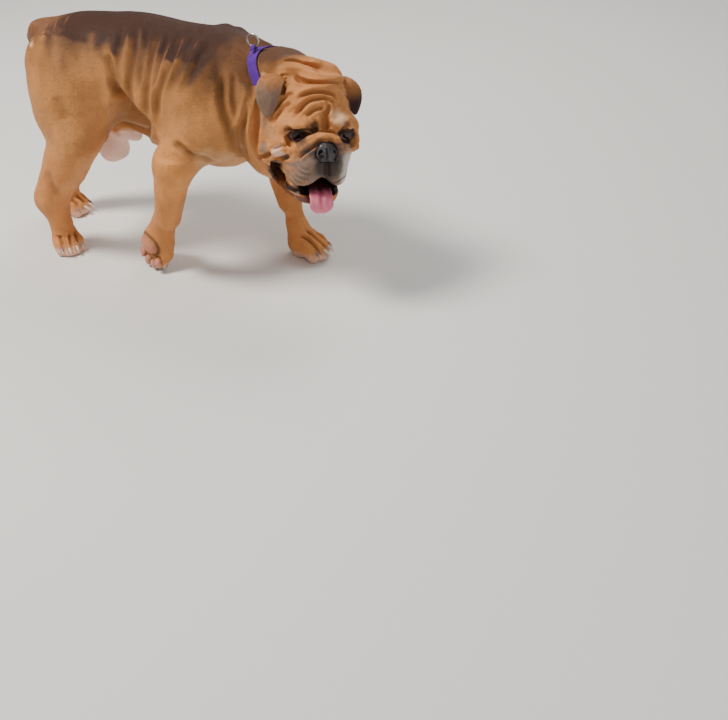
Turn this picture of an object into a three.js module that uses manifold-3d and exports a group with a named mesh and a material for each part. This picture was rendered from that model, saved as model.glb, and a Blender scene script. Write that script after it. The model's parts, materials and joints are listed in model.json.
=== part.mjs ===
// A life-size English bulldog caught at a walk, its head turned to its right, wearing a collar.
// Millimetres. +X is forward along the back, +Y is the dog's left, +Z is up, and the paws stand on Z = 0.
import * as THREE from "three";
import { mergeVertices } from "three/addons/utils/BufferGeometryUtils.js";
import Module from "manifold-3d";

const wasm = await Module();
wasm.setup();

// Driving dimensions of the body
const BACK_HEIGHT = 438; // top of the loin
const WITHERS_HEIGHT = 424;
const BRISKET_HEIGHT = 190; // underside of the chest
const CHEST_HALF_WIDTH = 110;
const LOIN_HALF_WIDTH = 80;
const HIP_X = -160;
const SHOULDER_X = 112;
const GAP = 0.3; // between nodes that touch

// Driving dimensions of the head, whose own frame starts midway between the eyes
const HEAD_PLACE = new THREE.Vector3(325, -69, 303);
const HEAD_TURN = { yaw: -51.7, pitch: -3.2, roll: -7 }; // degrees
const EYE_SPACING = 41; // from the middle of the face to an eye's centre
const EYE_RADIUS = 12;
const SKULL_HALF_WIDTH = 63;
const CHEEK_HALF_WIDTH = 84;
const NOSE_HALF_WIDTH = 21;
const EAR_THICKNESS = 4.5;
const TONGUE_HALF_WIDTH = 23;

// Driving dimensions of the collar
const BAND_WIDTH = 20;
const BAND_THICKNESS = 2.6;
const RING_RADIUS = 11;
const RING_WIRE = 1.8;

// How finely each kind of flesh is faceted, as the edge of a cell
const TORSO_CELL = 26;
const NECK_CELL = 20;
const LEG_CELL = 20;
const PAW_CELL = 11.4;
const HEAD_CELL = 10.7;
const FINE_CELL = 5.2;

// Fields: functions of a place that are negative inside the flesh and positive outside it
function ellipsoid([cx, cy, cz], [rx, ry, rz], pitch = 0, yaw = 0) {
  const turn = new THREE.Matrix3().setFromMatrix4(
    new THREE.Matrix4().makeRotationFromEuler(
      new THREE.Euler(0, THREE.MathUtils.degToRad(pitch), THREE.MathUtils.degToRad(yaw), "ZYX"),
    ),
  ).elements;
  return (px, py, pz) => {
    const dx = px - cx;
    const dy = py - cy;
    const dz = pz - cz;
    const x = (turn[0] * dx + turn[1] * dy + turn[2] * dz) / rx;
    const y = (turn[3] * dx + turn[4] * dy + turn[5] * dz) / ry;
    const z = (turn[6] * dx + turn[7] * dy + turn[8] * dz) / rz;
    const near = Math.sqrt(x * x + y * y + z * z);
    const slope = Math.sqrt((x / rx) ** 2 + (y / ry) ** 2 + (z / rz) ** 2);
    return slope > 0 ? (near * (near - 1)) / slope : -Math.min(rx, ry, rz);
  };
}

// A rod with a round end at each of its places, fat there by the radius that comes fourth
function rod(...places) {
  const parts = places.slice(1).map((b, i) => {
    const a = places[i];
    const bx = b[0] - a[0];
    const by = b[1] - a[1];
    const bz = b[2] - a[2];
    const long = bx * bx + by * by + bz * bz;
    return (x, y, z) => {
      const dx = x - a[0];
      const dy = y - a[1];
      const dz = z - a[2];
      const t = Math.min(1, Math.max(0, (dx * bx + dy * by + dz * bz) / long));
      const rest = Math.sqrt((dx - bx * t) ** 2 + (dy - by * t) ** 2 + (dz - bz * t) ** 2);
      return rest - (a[3] + (b[3] - a[3]) * t);
    };
  });
  return (x, y, z) => Math.min(...parts.map((part) => part(x, y, z)));
}

const smoothLess = (a, b, soft) => {
  const close = Math.max(soft - Math.abs(a - b), 0) / soft;
  return Math.min(a, b) - close * close * soft * 0.25;
};

const blend = (soft, ...fields) => (x, y, z) =>
  fields.reduce((so_far, field) => smoothLess(so_far, field(x, y, z), soft), 1e4);

const carve = (soft, body, cutter) => (x, y, z) =>
  -smoothLess(-body(x, y, z), cutter(x, y, z), soft);

const onBothSides = (field) => (x, y, z) => field(x, Math.abs(y), z);

const within = (frame, field) => {
  const inverse = frame.clone().invert();
  const place = new THREE.Vector3();
  return (x, y, z) => {
    place.set(x, y, z).applyMatrix4(inverse);
    return field(place.x, place.y, place.z);
  };
};

// Far from its flesh a field only needs to say how far off it is
const near = ([cx, cy, cz], radius, field) => (x, y, z) => {
  const off = Math.sqrt((x - cx) ** 2 + (y - cy) ** 2 + (z - cz) ** 2) - radius;
  return off > 60 ? off : field(x, y, z);
};

// Presses a soft line of the given depth into a field, along a rod of no thickness
const crease = (body, width, depth, ...places) => {
  const line = rod(...places.map((place) => [...place, 0]));
  return (x, y, z) => body(x, y, z) + depth * Math.exp(-((line(x, y, z) / width) ** 2));
};

function frameAt(place, { yaw = 0, pitch = 0, roll = 0 }) {
  const turn = new THREE.Euler(
    THREE.MathUtils.degToRad(roll),
    THREE.MathUtils.degToRad(pitch),
    THREE.MathUtils.degToRad(yaw),
    "ZYX",
  );
  return new THREE.Matrix4().makeRotationFromEuler(turn).setPosition(place);
}

const boxOf = (low, high) =>
  new THREE.Box3(new THREE.Vector3(...low), new THREE.Vector3(...high));

// Skin over a field: one vertex in each cell that the surface crosses, and a four-sided face round
// each grid edge that it crosses, then the vertices are evened out and drawn back on to the surface
function skinOf(flesh, box, cell) {
  const low = box.min.clone().addScalar(cell * 1.5);
  const high = box.max.clone().subScalar(cell * 1.5);
  const field = (x, y, z) =>
    Math.max(
      flesh(x, y, z),
      Math.max(low.x - x, x - high.x),
      Math.max(low.y - y, y - high.y),
      Math.max(low.z - z, z - high.z),
    );
  const count = box.getSize(new THREE.Vector3()).divideScalar(cell).ceil().addScalar(1);
  const [nx, ny, nz] = count.toArray();
  const { x: x0, y: y0, z: z0 } = box.min;
  const at = (i, j, k) => i + nx * (j + ny * k);
  const values = new Float32Array(nx * ny * nz);
  for (let k = 0; k < nz; k++)
    for (let j = 0; j < ny; j++)
      for (let i = 0; i < nx; i++)
        values[at(i, j, k)] = field(x0 + i * cell, y0 + j * cell, z0 + k * cell) || 1e-3;
  untangle(values, [nx, ny, nz]);

  const points = [];
  const starts = [];
  const pointOf = new Int32Array(nx * ny * nz).fill(-1);
  const corners = [];
  for (let c = 0; c < 8; c++) corners.push([c & 1, (c >> 1) & 1, (c >> 2) & 1]);
  const edges = [];
  for (let a = 0; a < 8; a++)
    for (const bit of [1, 2, 4]) if (!(a & bit)) edges.push([a, a | bit]);
  for (let k = 0; k < nz - 1; k++)
    for (let j = 0; j < ny - 1; j++)
      for (let i = 0; i < nx - 1; i++) {
        const v = corners.map(([a, b, c]) => values[at(i + a, j + b, k + c)]);
        const crossed = edges.filter(([a, b]) => v[a] < 0 !== v[b] < 0);
        if (!crossed.length) continue;
        const mean = new THREE.Vector3();
        for (const [a, b] of crossed) {
          const t = v[a] / (v[a] - v[b]);
          mean.x += corners[a][0] + t * (corners[b][0] - corners[a][0]);
          mean.y += corners[a][1] + t * (corners[b][1] - corners[a][1]);
          mean.z += corners[a][2] + t * (corners[b][2] - corners[a][2]);
        }
        mean.divideScalar(crossed.length);
        pointOf[at(i, j, k)] = points.length;
        points.push(
          new THREE.Vector3(x0 + (i + mean.x) * cell, y0 + (j + mean.y) * cell, z0 + (k + mean.z) * cell),
        );
        starts.push(points.at(-1).clone());
      }

  const faces = [];
  const steps = [
    [1, 0, 0],
    [0, 1, 0],
    [0, 0, 1],
  ];
  for (let k = 1; k < nz - 1; k++)
    for (let j = 1; j < ny - 1; j++)
      for (let i = 1; i < nx - 1; i++)
        steps.forEach((step, axis) => {
          const here = values[at(i, j, k)];
          const there = values[at(i + step[0], j + step[1], k + step[2])];
          if (here < 0 === there < 0) return;
          const u = steps[(axis + 1) % 3];
          const w = steps[(axis + 2) % 3];
          const ring = [
            [0, 0],
            [1, 0],
            [1, 1],
            [0, 1],
          ].map(([a, b]) => pointOf[at(i - a * u[0] - b * w[0], j - a * u[1] - b * w[1], k - a * u[2] - b * w[2])]);
          faces.push(here < 0 ? ring : ring.reverse());
        });

  evenOut(field, points, starts, faces, cell);
  const index = faces.flatMap(([a, b, c, d]) =>
    points[a].distanceTo(points[c]) < points[b].distanceTo(points[d])
      ? [a, b, c, a, c, d]
      : [a, b, d, b, c, d],
  );
  const geometry = new THREE.BufferGeometry().setFromPoints(points);
  geometry.setIndex(index);
  return geometry;
}

// Whether the marked corners of a cell hang together along the cell's edges
function hangTogether(mask) {
  const left = [...Array(8).keys()].filter((c) => mask & (1 << c));
  const reached = left.splice(0, 1);
  for (const c of reached)
    for (const bit of [1, 2, 4]) {
      const found = left.indexOf(c ^ bit);
      if (found >= 0) reached.push(...left.splice(found, 1));
    }
  return !left.length;
}

// Where a cell's flesh, or its air, is in two pieces, its smallest value changes sides, so that no
// two sheets of the surface share a vertex
function untangle(values, [nx, ny, nz]) {
  const simple = [...Array(256).keys()].map((mask) => hangTogether(mask) && hangTogether(255 - mask));
  const steps = [...Array(8).keys()].map((c) => (c & 1) + nx * (((c >> 1) & 1) + ny * ((c >> 2) & 1)));
  let changed = true;
  for (let round = 0; changed && round < 60; round++) {
    changed = false;
    for (let k = 0; k < nz - 1; k++)
      for (let j = 0; j < ny - 1; j++)
        for (let i = 0; i < nx - 1; i++) {
          const corners = steps.map((step) => i + nx * (j + ny * k) + step);
          const mask = corners.reduce((sum, n, c) => sum + (values[n] < 0 ? 1 << c : 0), 0);
          if (simple[mask]) continue;
          const least = corners.reduce((a, b) => (Math.abs(values[a]) < Math.abs(values[b]) ? a : b));
          values[least] = values[least] < 0 ? 0.5 + round / 10 : -0.5 - round / 10;
          changed = true;
        }
  }
}

function slopeOf(field, p) {
  const step = 0.4;
  const value = field(p.x, p.y, p.z);
  const slope = new THREE.Vector3(
    field(p.x + step, p.y, p.z) - value,
    field(p.x, p.y + step, p.z) - value,
    field(p.x, p.y, p.z + step) - value,
  ).divideScalar(step);
  return { value, slope };
}

function evenOut(field, points, starts, faces, cell) {
  const around = points.map(() => new Set());
  for (const ring of faces)
    ring.forEach((a, n) => {
      around[a].add(ring[(n + 1) % 4]);
      around[ring[(n + 1) % 4]].add(a);
    });
  for (let round = 0; round < 5; round++) {
    const moved = points.map((p, n) => {
      const mean = new THREE.Vector3();
      around[n].forEach((m) => mean.add(points[m]));
      const next = p.clone().lerp(mean.divideScalar(around[n].size), 0.5);
      const { value, slope } = slopeOf(field, next);
      const steep = Math.max(slope.lengthSq(), 0.2);
      next.addScaledVector(slope, -THREE.MathUtils.clamp(value / steep, -cell / 2, cell / 2));
      return next.sub(starts[n]).clampLength(0, cell * 0.8).add(starts[n]);
    });
    moved.forEach((p, n) => points[n].copy(p));
  }
}

// Solids
function solidOf(geometry) {
  const bare = geometry.clone();
  bare.deleteAttribute("normal");
  bare.deleteAttribute("uv");
  const merged = mergeVertices(bare, 1e-3);
  return new wasm.Manifold(
    new wasm.Mesh({
      numProp: 3,
      vertProperties: merged.attributes.position.array,
      triVerts: new Uint32Array(merged.index.array),
    }),
  );
}

function geometryOf(solid) {
  const { numProp, numVert, vertProperties, triVerts } = solid.getMesh();
  const position = new Float32Array(numVert * 3);
  for (let n = 0; n < numVert; n++)
    position.set(vertProperties.subarray(n * numProp, n * numProp + 3), n * 3);
  return new THREE.BufferGeometry()
    .setAttribute("position", new THREE.BufferAttribute(position, 3))
    .setIndex(new THREE.BufferAttribute(triVerts, 1));
}

const largest = (solid) =>
  solid.decompose().reduce((a, b) => (a.volume() > b.volume() ? a : b));

// The solid pushed outwards along its own normals, to cut a neighbour clear of it
function grown(solid, by = GAP) {
  const geometry = geometryOf(solid);
  geometry.computeVertexNormals();
  const { position, normal } = geometry.attributes;
  for (let n = 0; n < position.count; n++)
    position.setXYZ(
      n,
      position.getX(n) + normal.getX(n) * by,
      position.getY(n) + normal.getY(n) * by,
      position.getZ(n) + normal.getZ(n) * by,
    );
  return solidOf(geometry);
}

// Torso: barrel, brisket, withers, belly, loin and croup
const torsoField = blend(
  40,
  ellipsoid([48, -2, 316], [148, CHEST_HALF_WIDTH, 106]),
  ellipsoid([120, -8, BRISKET_HEIGHT + 86], [72, 76, 86]),
  ellipsoid([SHOULDER_X, -4, WITHERS_HEIGHT - 68], [92, 88, 66]),
  ellipsoid([-65, 0, 326], [112, 88, 88]),
  ellipsoid([-50, 0, BACK_HEIGHT - 70], [125, LOIN_HALF_WIDTH, 66]),
  ellipsoid([HIP_X, 0, 347], [84, 82, 77]),
);

// Neck: a thick column from the withers to the back of the skull, with a crest and a dewlap
const neckField = blend(
  34,
  rod([150, -8, 326, 88], [214, -18, 322, 78], [262, -20, 312, 58]),
  ellipsoid([212, -8, 360], [88, 64, 53]),
  ellipsoid([222, -46, 256], [44, 42, 56]),
);

// Legs: the forepaw on the dog's right is at the end of its stride and stands on its toes
const shoulder = (side, armpit) =>
  blend(
    26,
    ellipsoid([SHOULDER_X, side * 82, 322], [60, 42, 94], -18),
    ellipsoid([SHOULDER_X + 32, side * 80, 292], [42, 38, 44]),
    rod([SHOULDER_X + 2, side * 96, 282, 40], [...armpit, 35]),
  );

const RIGHT_FORE = { elbow: [80, -121, 238], forearm: [62, -118, 185], wrist: [41, -107, 118] };
const LEFT_FORE = { elbow: [138, 104, 228], forearm: [170, 88, 168], wrist: [204, 64, 96] };
const foreleg = (side, { elbow, forearm, wrist }) =>
  blend(
    18,
    shoulder(side, elbow),
    rod([...elbow, 35], [...forearm, 29], [...wrist, 25]),
    rod([elbow[0] - 20, elbow[1], elbow[2] - 6, 22], [...forearm, 20]),
  );

const RIGHT_HIND = {
  hip: [HIP_X, -64, 340],
  thigh: [-142, -84, 292],
  knee: [-122, -104, 238],
  shank: [-158, -99, 180],
  hock: [-210, -92, 106],
  ankle: [-206, -88, 50],
};
const LEFT_HIND = {
  hip: [HIP_X, 62, 330],
  thigh: [-152, 80, 290],
  knee: [-140, 92, 236],
  shank: [-200, 76, 184],
  hock: [-264, 56, 116],
  ankle: [-282, 49, 52],
};
const hindleg = ({ hip, thigh, knee, shank, hock, ankle }) =>
  blend(
    22,
    ellipsoid(hip, [74, 40, 80]),
    ellipsoid(thigh, [76, 44, 92], 8),
    rod([...knee, 37], [...shank, 36], [...hock, 25]),
    rod([shank[0] - 16, shank[1], shank[2] + 18, 26], [hock[0] - 22, hock[1], hock[2] - 6, 17]),
    rod([...hock, 26], [...ankle, 22]),
  );

// A paw in its own frame: +X to the toe tips, +Z the back of the paw, origin under its middle
const TOES = [
  { across: -23, reach: 20, knuckle: 8 },
  { across: -8.5, reach: 30, knuckle: 15 },
  { across: 8.5, reach: 30, knuckle: 15 },
  { across: 23, reach: 20, knuckle: 8 },
];
const TOE_RADIUS = 11.5;
const PAW_HEIGHT = 27; // of the knuckles above the sole
function pawField(size, ankle) {
  const toes = TOES.map(({ across, reach, knuckle }) =>
    rod(
      [knuckle - 18, across * 0.8, PAW_HEIGHT, 13],
      [knuckle, across, PAW_HEIGHT - 3, 13.5],
      [reach, across, 13, TOE_RADIUS],
    ),
  );
  const pads = TOES.map(({ across, reach }) => ellipsoid([reach - 3, across, 6], [11, 8.5, 8]));
  const heel = ellipsoid([-12, 0, 10], [19, 22, 12]);
  const palm = ellipsoid([-12, 0, 26], [28, 27, 20]);
  const body = blend(5, blend(3, ...toes), blend(12, palm, heel), blend(3, ...pads));
  const whole = blend(16, body, rod([-14, 0, 28, 24], ankle));
  return (x, y, z) => whole(x / size, y / size, z / size) * size;
}

const onFloor = (x, y, yaw) => frameAt(new THREE.Vector3(x, y, -1.5), { yaw });
const PAWS = {
  forepaw_right: {
    frame: frameFacing([-11, -107, 41], [-0.05, 0.12, -0.99], [0.45, 0.89, 0]),
    size: 1.04,
    ankle: [-64, -14, 38, 23],
  },
  forepaw_left: { frame: onFloor(247, 47, -4), size: 1.02, ankle: [-31, 9, 60, 21] },
  hindpaw_right: { frame: onFloor(-196, -93, -38), size: 0.85, ankle: [-15, -4, 54, 22] },
  hindpaw_left: { frame: onFloor(-274, 45, 4), size: 0.9, ankle: [-12, 4, 54, 22] },
};

// A frame from a place, the way its +X looks and, as near as that allows, the way its +Z looks
function frameFacing(place, forward, up) {
  const x = new THREE.Vector3(...forward).normalize();
  const z = new THREE.Vector3(...up);
  z.addScaledVector(x, -z.dot(x)).normalize();
  const y = new THREE.Vector3().crossVectors(z, x);
  return new THREE.Matrix4().makeBasis(x, y, z).setPosition(...place);
}

const pawFields = Object.values(PAWS).map(({ frame, size, ankle }) =>
  near(new THREE.Vector3().setFromMatrixPosition(frame).toArray(), 90, within(frame, pawField(size, ankle))),
);

// Tail: a short thick screw tail set low on the rump
const tailField = rod([-208, 0, 386, 32], [-236, -2, 386, 25], [-253, 2, 374, 18], [-257, 6, 358, 13]);

// Under the belly: the sheath and the pouch behind it
const sheathField = rod([-130, 0, 240, 24], [-96, 0, 222, 19], [-70, 0, 214, 13]);
const pouchField = blend(
  10,
  rod([-140, 0, 236, 22], [-128, 0, 204, 23]),
  ellipsoid([-124, -10, 184], [27, 17, 30]),
  ellipsoid([-121, 11, 182], [26, 17, 28]),
);

// Head, in its own frame: +X out of the face, +Y to the dog's left, origin between the eyes
const HEAD_FRAME = frameAt(HEAD_PLACE, HEAD_TURN);
const skull = blend(
  22,
  ellipsoid([-62, -5, 28], [64, SKULL_HALF_WIDTH, 66]),
  ellipsoid([-26, -2, 22], [40, 54, 44]),
  ellipsoid([-42, CHEEK_HALF_WIDTH - 31, -20], [44, 27, 44]),
  ellipsoid([-48, 18 - CHEEK_HALF_WIDTH, -22], [50, 29, 47]),
  ellipsoid([-40, 0, -40], [58, 58, 44]),
);
const crown = blend(
  14,
  rod([-64, -50, 58, 14], [-62, -28, 84, 15], [-64, 0, 92, 14], [-62, 28, 84, 15], [-64, 50, 58, 14]),
  rod([-34, -34, 54, 12], [-30, 0, 62, 12], [-34, 34, 54, 12]),
);
const browAndLids = onBothSides(
  blend(
    8,
    ellipsoid([1, EYE_SPACING - 10, 21], [16, 24, 12]),
    ellipsoid([-8, EYE_SPACING + 16, 8], [15, 15, 17]),
    ellipsoid([-3, EYE_SPACING + 4, -20], [16, 22, 9]),
  ),
);
const muzzle = blend(
  16,
  ellipsoid([10, 0, -32], [32, 46, 30]),
  onBothSides(rod([25, 0, 0, 11], [22, 22, -6, 11], [14, 42, -22, 12], [4, 54, -42, 10])),
);
const flews = onBothSides(
  blend(
    10,
    ellipsoid([22, 22, -46], [23, 25, 26]),
    ellipsoid([14, 32, -62], [24, 21, 21]),
    ellipsoid([-4, 44, -56], [24, 16, 20]),
  ),
);
const jaw = blend(
  12,
  ellipsoid([-20, 0, -96], [46, 42, 18], 10),
  onBothSides(rod([-34, 48, -70, 11], [-4, 44, -92, 8], [18, 28, -104, 8], [27, 0, -106, 8])),
);
const mouth = blend(
  8,
  ellipsoid([-6, 0, -82], [36, 34, 12], 16),
  ellipsoid([14, 0, -90], [36, 28, 9], 14),
  onBothSides(rod([-26, 44, -66, 5], [0, 52, -80, 6], [18, 46, -92, 8])),
);
const eyeHollow = onBothSides(ellipsoid([14, EYE_SPACING, 0], [17, 15, 10]));
const flesh = blend(8, blend(12, skull, crown, browAndLids, muzzle, flews), jaw);
const face = creased(carve(4, carve(5, flesh, mouth), eyeHollow));
const headCentre = new THREE.Vector3(-25, 0, -10).applyMatrix4(HEAD_FRAME).toArray();
// The cheek and the flews on the left hang a little closer in than those on the right
const leaning = (x, y, z) => {
  const low = THREE.MathUtils.clamp((-z - 15) / 30, 0, 1);
  return face(x, y + 0.22 * Math.max(0, y - 44) + 0.25 * low * Math.max(0, y - 8), z);
};
const headField = near(headCentre, 130, within(HEAD_FRAME, leaning));

// The folds that read from a step away: the cleft, the furrow and the ropes over brow and nose
function creased(head) {
  const folds = [
    [4, 5, [46, 0, -32], [44, 0, -48], [34, 0, -64]],
    [6, 6, [18, 0, 12], [10, 0, 30], [-6, 0, 52]],
    [5, 6, [22, 0, 14], [20, 22, 6], [10, 44, -10], [8, 58, -34], [0, 62, -50]],
    [5, 6, [22, 0, 14], [20, -22, 6], [10, -44, -10], [8, -58, -34], [0, -62, -50]],
    [5, 4, [-8, 52, 36], [8, 26, 38], [10, 8, 44]],
    [5, 4, [-8, -52, 36], [8, -26, 38], [10, -8, 44]],
    [6, 5, [-44, -56, 62], [-42, 0, 80], [-44, 56, 62]],
    [5, 6, [-20, 80, 10], [-14, 82, -16], [-18, 76, -46]],
    [5, 6, [-20, -80, 10], [-14, -82, -16], [-18, -76, -46]],
  ];
  return folds.reduce((field, [width, depth, ...line]) => crease(field, width, depth, ...line), head);
}

const bodyField = blend(
  22,
  blend(30, torsoField, neckField),
  foreleg(-1, RIGHT_FORE),
  foreleg(1, LEFT_FORE),
  hindleg(RIGHT_HIND),
  hindleg(LEFT_HIND),
);

// The collar lies sunk between the folds of the neck, and its ring is drawn back and up. On the
// right, towards which the head is turned, the folds close over it
const COLLAR_FRAME = frameAt(new THREE.Vector3(232, -24, 338), { yaw: -6, pitch: -14 });
const sag = (angle) => 6 * Math.cos(angle) ** 2 - 22 * Math.max(0, Math.sin(angle)) ** 3;
const collarSeat = blend(
  20,
  rod([180, -6, 322, 74], [236, -16, 318, 68], [290, -20, 306, 62]),
  ellipsoid([212, -8, 356], [92, 62, 52]),
);
const COVERED_ANGLE = THREE.MathUtils.degToRad(218);
const COVERED_HALF = THREE.MathUtils.degToRad(72);
const TO_COLLAR = COLLAR_FRAME.clone().invert();
const collarGroove = (x, y, z) => {
  const place = new THREE.Vector3(x, y, z).applyMatrix4(TO_COLLAR);
  const angle = Math.atan2(place.z, place.y);
  const along = Math.abs(place.x - sag(angle));
  const covered = 200 * (Math.cos(angle - COVERED_ANGLE) - Math.cos(COVERED_HALF));
  return Math.max(along - BAND_WIDTH / 2 - 3, -collarSeat(x, y, z), covered);
};
const grooved = carve(7, blend(12, bodyField, headField), near([232, -24, 338], 150, collarGroove));
const fleshField = blend(8, grooved, tailField, sheathField, pouchField, ...pawFields);

// Where the flesh is parted: boxes given by a place on the floor side, a size and a turn. Each box
// takes what lies in it and in none of the boxes above it
const parted = (place, size, turn, cell) => ({ frame: frameAt(new THREE.Vector3(...place), turn), size, cell });
const REGIONS = {
  head: parted([378, -93, 310], [300, 320, 340], { yaw: -30 }, HEAD_CELL),
  neck: parted([276, -36, 340], [200, 340, 280], { yaw: -15 }, NECK_CELL),
  tail: parted([-270, 2, 390], [84, 84, 92], {}, PAW_CELL + 2),
  sheath: parted([-72, 0, 186], [60, 72, 92], {}, PAW_CELL + 2),
  scrotum: parted([-132, 0, 186], [60, 72, 92], {}, PAW_CELL + 2),
  forepaw_right: parted([10, -110, 36], [170, 130, 104], {}, PAW_CELL),
  forepaw_left: parted([240, 50, 20], [150, 130, 84], {}, PAW_CELL),
  hindpaw_right: parted([-195, -100, 16], [150, 130, 88], {}, PAW_CELL),
  hindpaw_left: parted([-270, 50, 16], [150, 120, 88], {}, PAW_CELL),
  foreleg_right: parted([60, -146, 120], [250, 130, 264], { roll: 5 }, LEG_CELL),
  foreleg_left: parted([190, 126, 116], [230, 160, 262], { roll: -15 }, LEG_CELL),
  hindleg_right: parted([-180, -120, 130], [260, 160, 300], { roll: 6 }, LEG_CELL),
  hindleg_left: parted([-190, 118, 130], [270, 160, 300], { roll: -7 }, LEG_CELL),
  torso: parted([0, 0, 240], [640, 400, 520], {}, TORSO_CELL),
};

function boxSolid({ frame, size }, spare = 0) {
  const geometry = new THREE.BoxGeometry(...size.map((side) => side + 2 * spare));
  return solidOf(geometry.applyMatrix4(frame));
}

const DOG_BOX = boxOf([-340, -190, -20], [440, 190, 480]);
const floor = boxSolid(parted([0, 0, -50], [1200, 1200, 100], {}));
const fleshSolids = {};
const taken = [];
for (const [name, region] of Object.entries(REGIONS)) {
  const box = new THREE.BufferGeometry()
    .copy(new THREE.BoxGeometry(...region.size))
    .applyMatrix4(region.frame);
  box.computeBoundingBox();
  const around = box.boundingBox.expandByScalar(region.cell * 3).intersect(DOG_BOX);
  const skin = solidOf(skinOf(fleshField, around, region.cell));
  const cut = taken.reduce((solid, other) => solid.subtract(boxSolid(other, GAP)), skin);
  fleshSolids[name] = largest(cut.intersect(boxSolid(region)).subtract(floor));
  taken.push(region);
}

// A closed tube along a loop of places, given the radius at each place
function loopTube(places, radii, sides) {
  const rings = places.map((place, n) => {
    const next = places[(n + 1) % places.length];
    const last = places.at(n - 1);
    const along = next.clone().sub(last).normalize();
    const outward = new THREE.Vector3(1, 0, 0).addScaledVector(along, -along.x).normalize();
    const aside = new THREE.Vector3().crossVectors(along, outward);
    return Array.from({ length: sides }, (_, s) => {
      const angle = (s / sides) * 2 * Math.PI;
      return place
        .clone()
        .addScaledVector(outward, Math.cos(angle) * radii[n])
        .addScaledVector(aside, Math.sin(angle) * radii[n]);
    });
  });
  return gridGeometry(rings, true);
}

// A closed surface over rings of equally many points. The rows close on each other, or are capped
function gridGeometry(rings, closed) {
  const sides = rings[0].length;
  const points = rings.flat();
  const index = [];
  const rows = closed ? rings.length : rings.length - 1;
  for (let r = 0; r < rows; r++)
    for (let s = 0; s < sides; s++) {
      const a = r * sides + s;
      const b = r * sides + ((s + 1) % sides);
      const c = ((r + 1) % rings.length) * sides + ((s + 1) % sides);
      const d = ((r + 1) % rings.length) * sides + s;
      index.push(a, b, c, a, c, d);
    }
  if (!closed) {
    for (const [r, turned] of [
      [0, true],
      [rings.length - 1, false],
    ]) {
      const middle = rings[r].reduce((sum, p) => sum.add(p), new THREE.Vector3()).divideScalar(sides);
      points.push(middle);
      for (let s = 0; s < sides; s++) {
        const a = r * sides + s;
        const b = r * sides + ((s + 1) % sides);
        index.push(...(turned ? [b, a, points.length - 1] : [a, b, points.length - 1]));
      }
    }
  }
  const geometry = new THREE.BufferGeometry().setFromPoints(points);
  geometry.setIndex(index);
  return geometry;
}

const facingOut = (geometry) => {
  const solid = solidOf(geometry);
  if (solid.volume() > 0) return solid;
  const { index } = geometry;
  for (let n = 0; n < index.count; n += 3) {
    const a = index.getX(n);
    index.setX(n, index.getX(n + 1));
    index.setX(n + 1, a);
  }
  return solidOf(geometry);
};

// The skin of the scalp is drawn to the right, so the left ear lies closer in than the right one
const mirrored = (side) => (p) => new THREE.Vector3(p.x, side * p.y - (side > 0 ? 24 : 0), p.z);

// Eyes and their lids
const EYE_DEPTH = -5; // of an eye's centre behind the head's origin
function eye(side) {
  const ball = new THREE.SphereGeometry(EYE_RADIUS, 12, 9);
  ball.rotateY(Math.PI / 2);
  return solidOf(ball.translate(EYE_DEPTH, side * EYE_SPACING, 0).applyMatrix4(HEAD_FRAME));
}

function lids(side) {
  const count = 22;
  const places = [];
  const radii = [];
  for (let n = 0; n < count; n++) {
    const angle = (n / count) * 2 * Math.PI;
    const across = Math.cos(angle);
    const up = Math.sin(angle);
    const y = across * 13.5;
    const z = up * (up > 0 ? 8.4 : 7.8) * (1 - 0.15 * across * across) - 1.2 + across * 1.2;
    const hug = Math.sqrt(Math.max((EYE_RADIUS + 1.8) ** 2 - y * y - z * z, 9));
    places.push(new THREE.Vector3(EYE_DEPTH + hug, side * (EYE_SPACING + y), z));
    radii.push(up > 0 ? 2.6 + 0.8 * up : 2.4);
  }
  return facingOut(loopTube(places, radii, 6).applyMatrix4(HEAD_FRAME));
}

// Ears: a flap that leaves the skull, folds forwards over itself and hangs, cupped towards the head
const EAR_LINE = new THREE.CatmullRomCurve3([
  new THREE.Vector3(-66, 56, 58),
  new THREE.Vector3(-60, 66, 76),
  new THREE.Vector3(-50, 74, 83),
  new THREE.Vector3(-40, 81, 74),
  new THREE.Vector3(-34, 87, 55),
  new THREE.Vector3(-31, 90, 36),
  new THREE.Vector3(-30, 89, 17),
]);
function ear(side) {
  const rows = 12;
  const columns = 6;
  const outside = [];
  for (let r = 0; r <= rows; r++) {
    const t = r / rows;
    const middle = EAR_LINE.getPoint(t);
    const along = EAR_LINE.getTangent(t);
    const broad = 19 * Math.sin(Math.PI * (0.26 + 0.71 * t)) ** 0.75;
    const across = new THREE.Vector3(0.22, 0.96, 0.16);
    across.addScaledVector(along, -across.dot(along)).normalize();
    const normal = new THREE.Vector3().crossVectors(along, across).normalize();
    outside.push(
      Array.from({ length: columns + 1 }, (_, c) => {
        const v = (c / columns) * 2 - 1;
        return {
          place: middle
            .clone()
            .addScaledVector(across, v * broad)
            .addScaledVector(normal, -v * v * (5 + 3 * Math.sin(Math.PI * t))),
          normal,
        };
      }),
    );
  }
  const rings = outside.map((row, r) => {
    const thick = EAR_THICKNESS * (0.55 + 0.45 * (1 - r / rows));
    const back = row.map(({ place, normal }) => place.clone().addScaledVector(normal, -thick)).reverse();
    return [...row.map(({ place }) => place), ...back].map(mirrored(side));
  });
  return facingOut(gridGeometry(rings, false).applyMatrix4(HEAD_FRAME));
}

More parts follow.
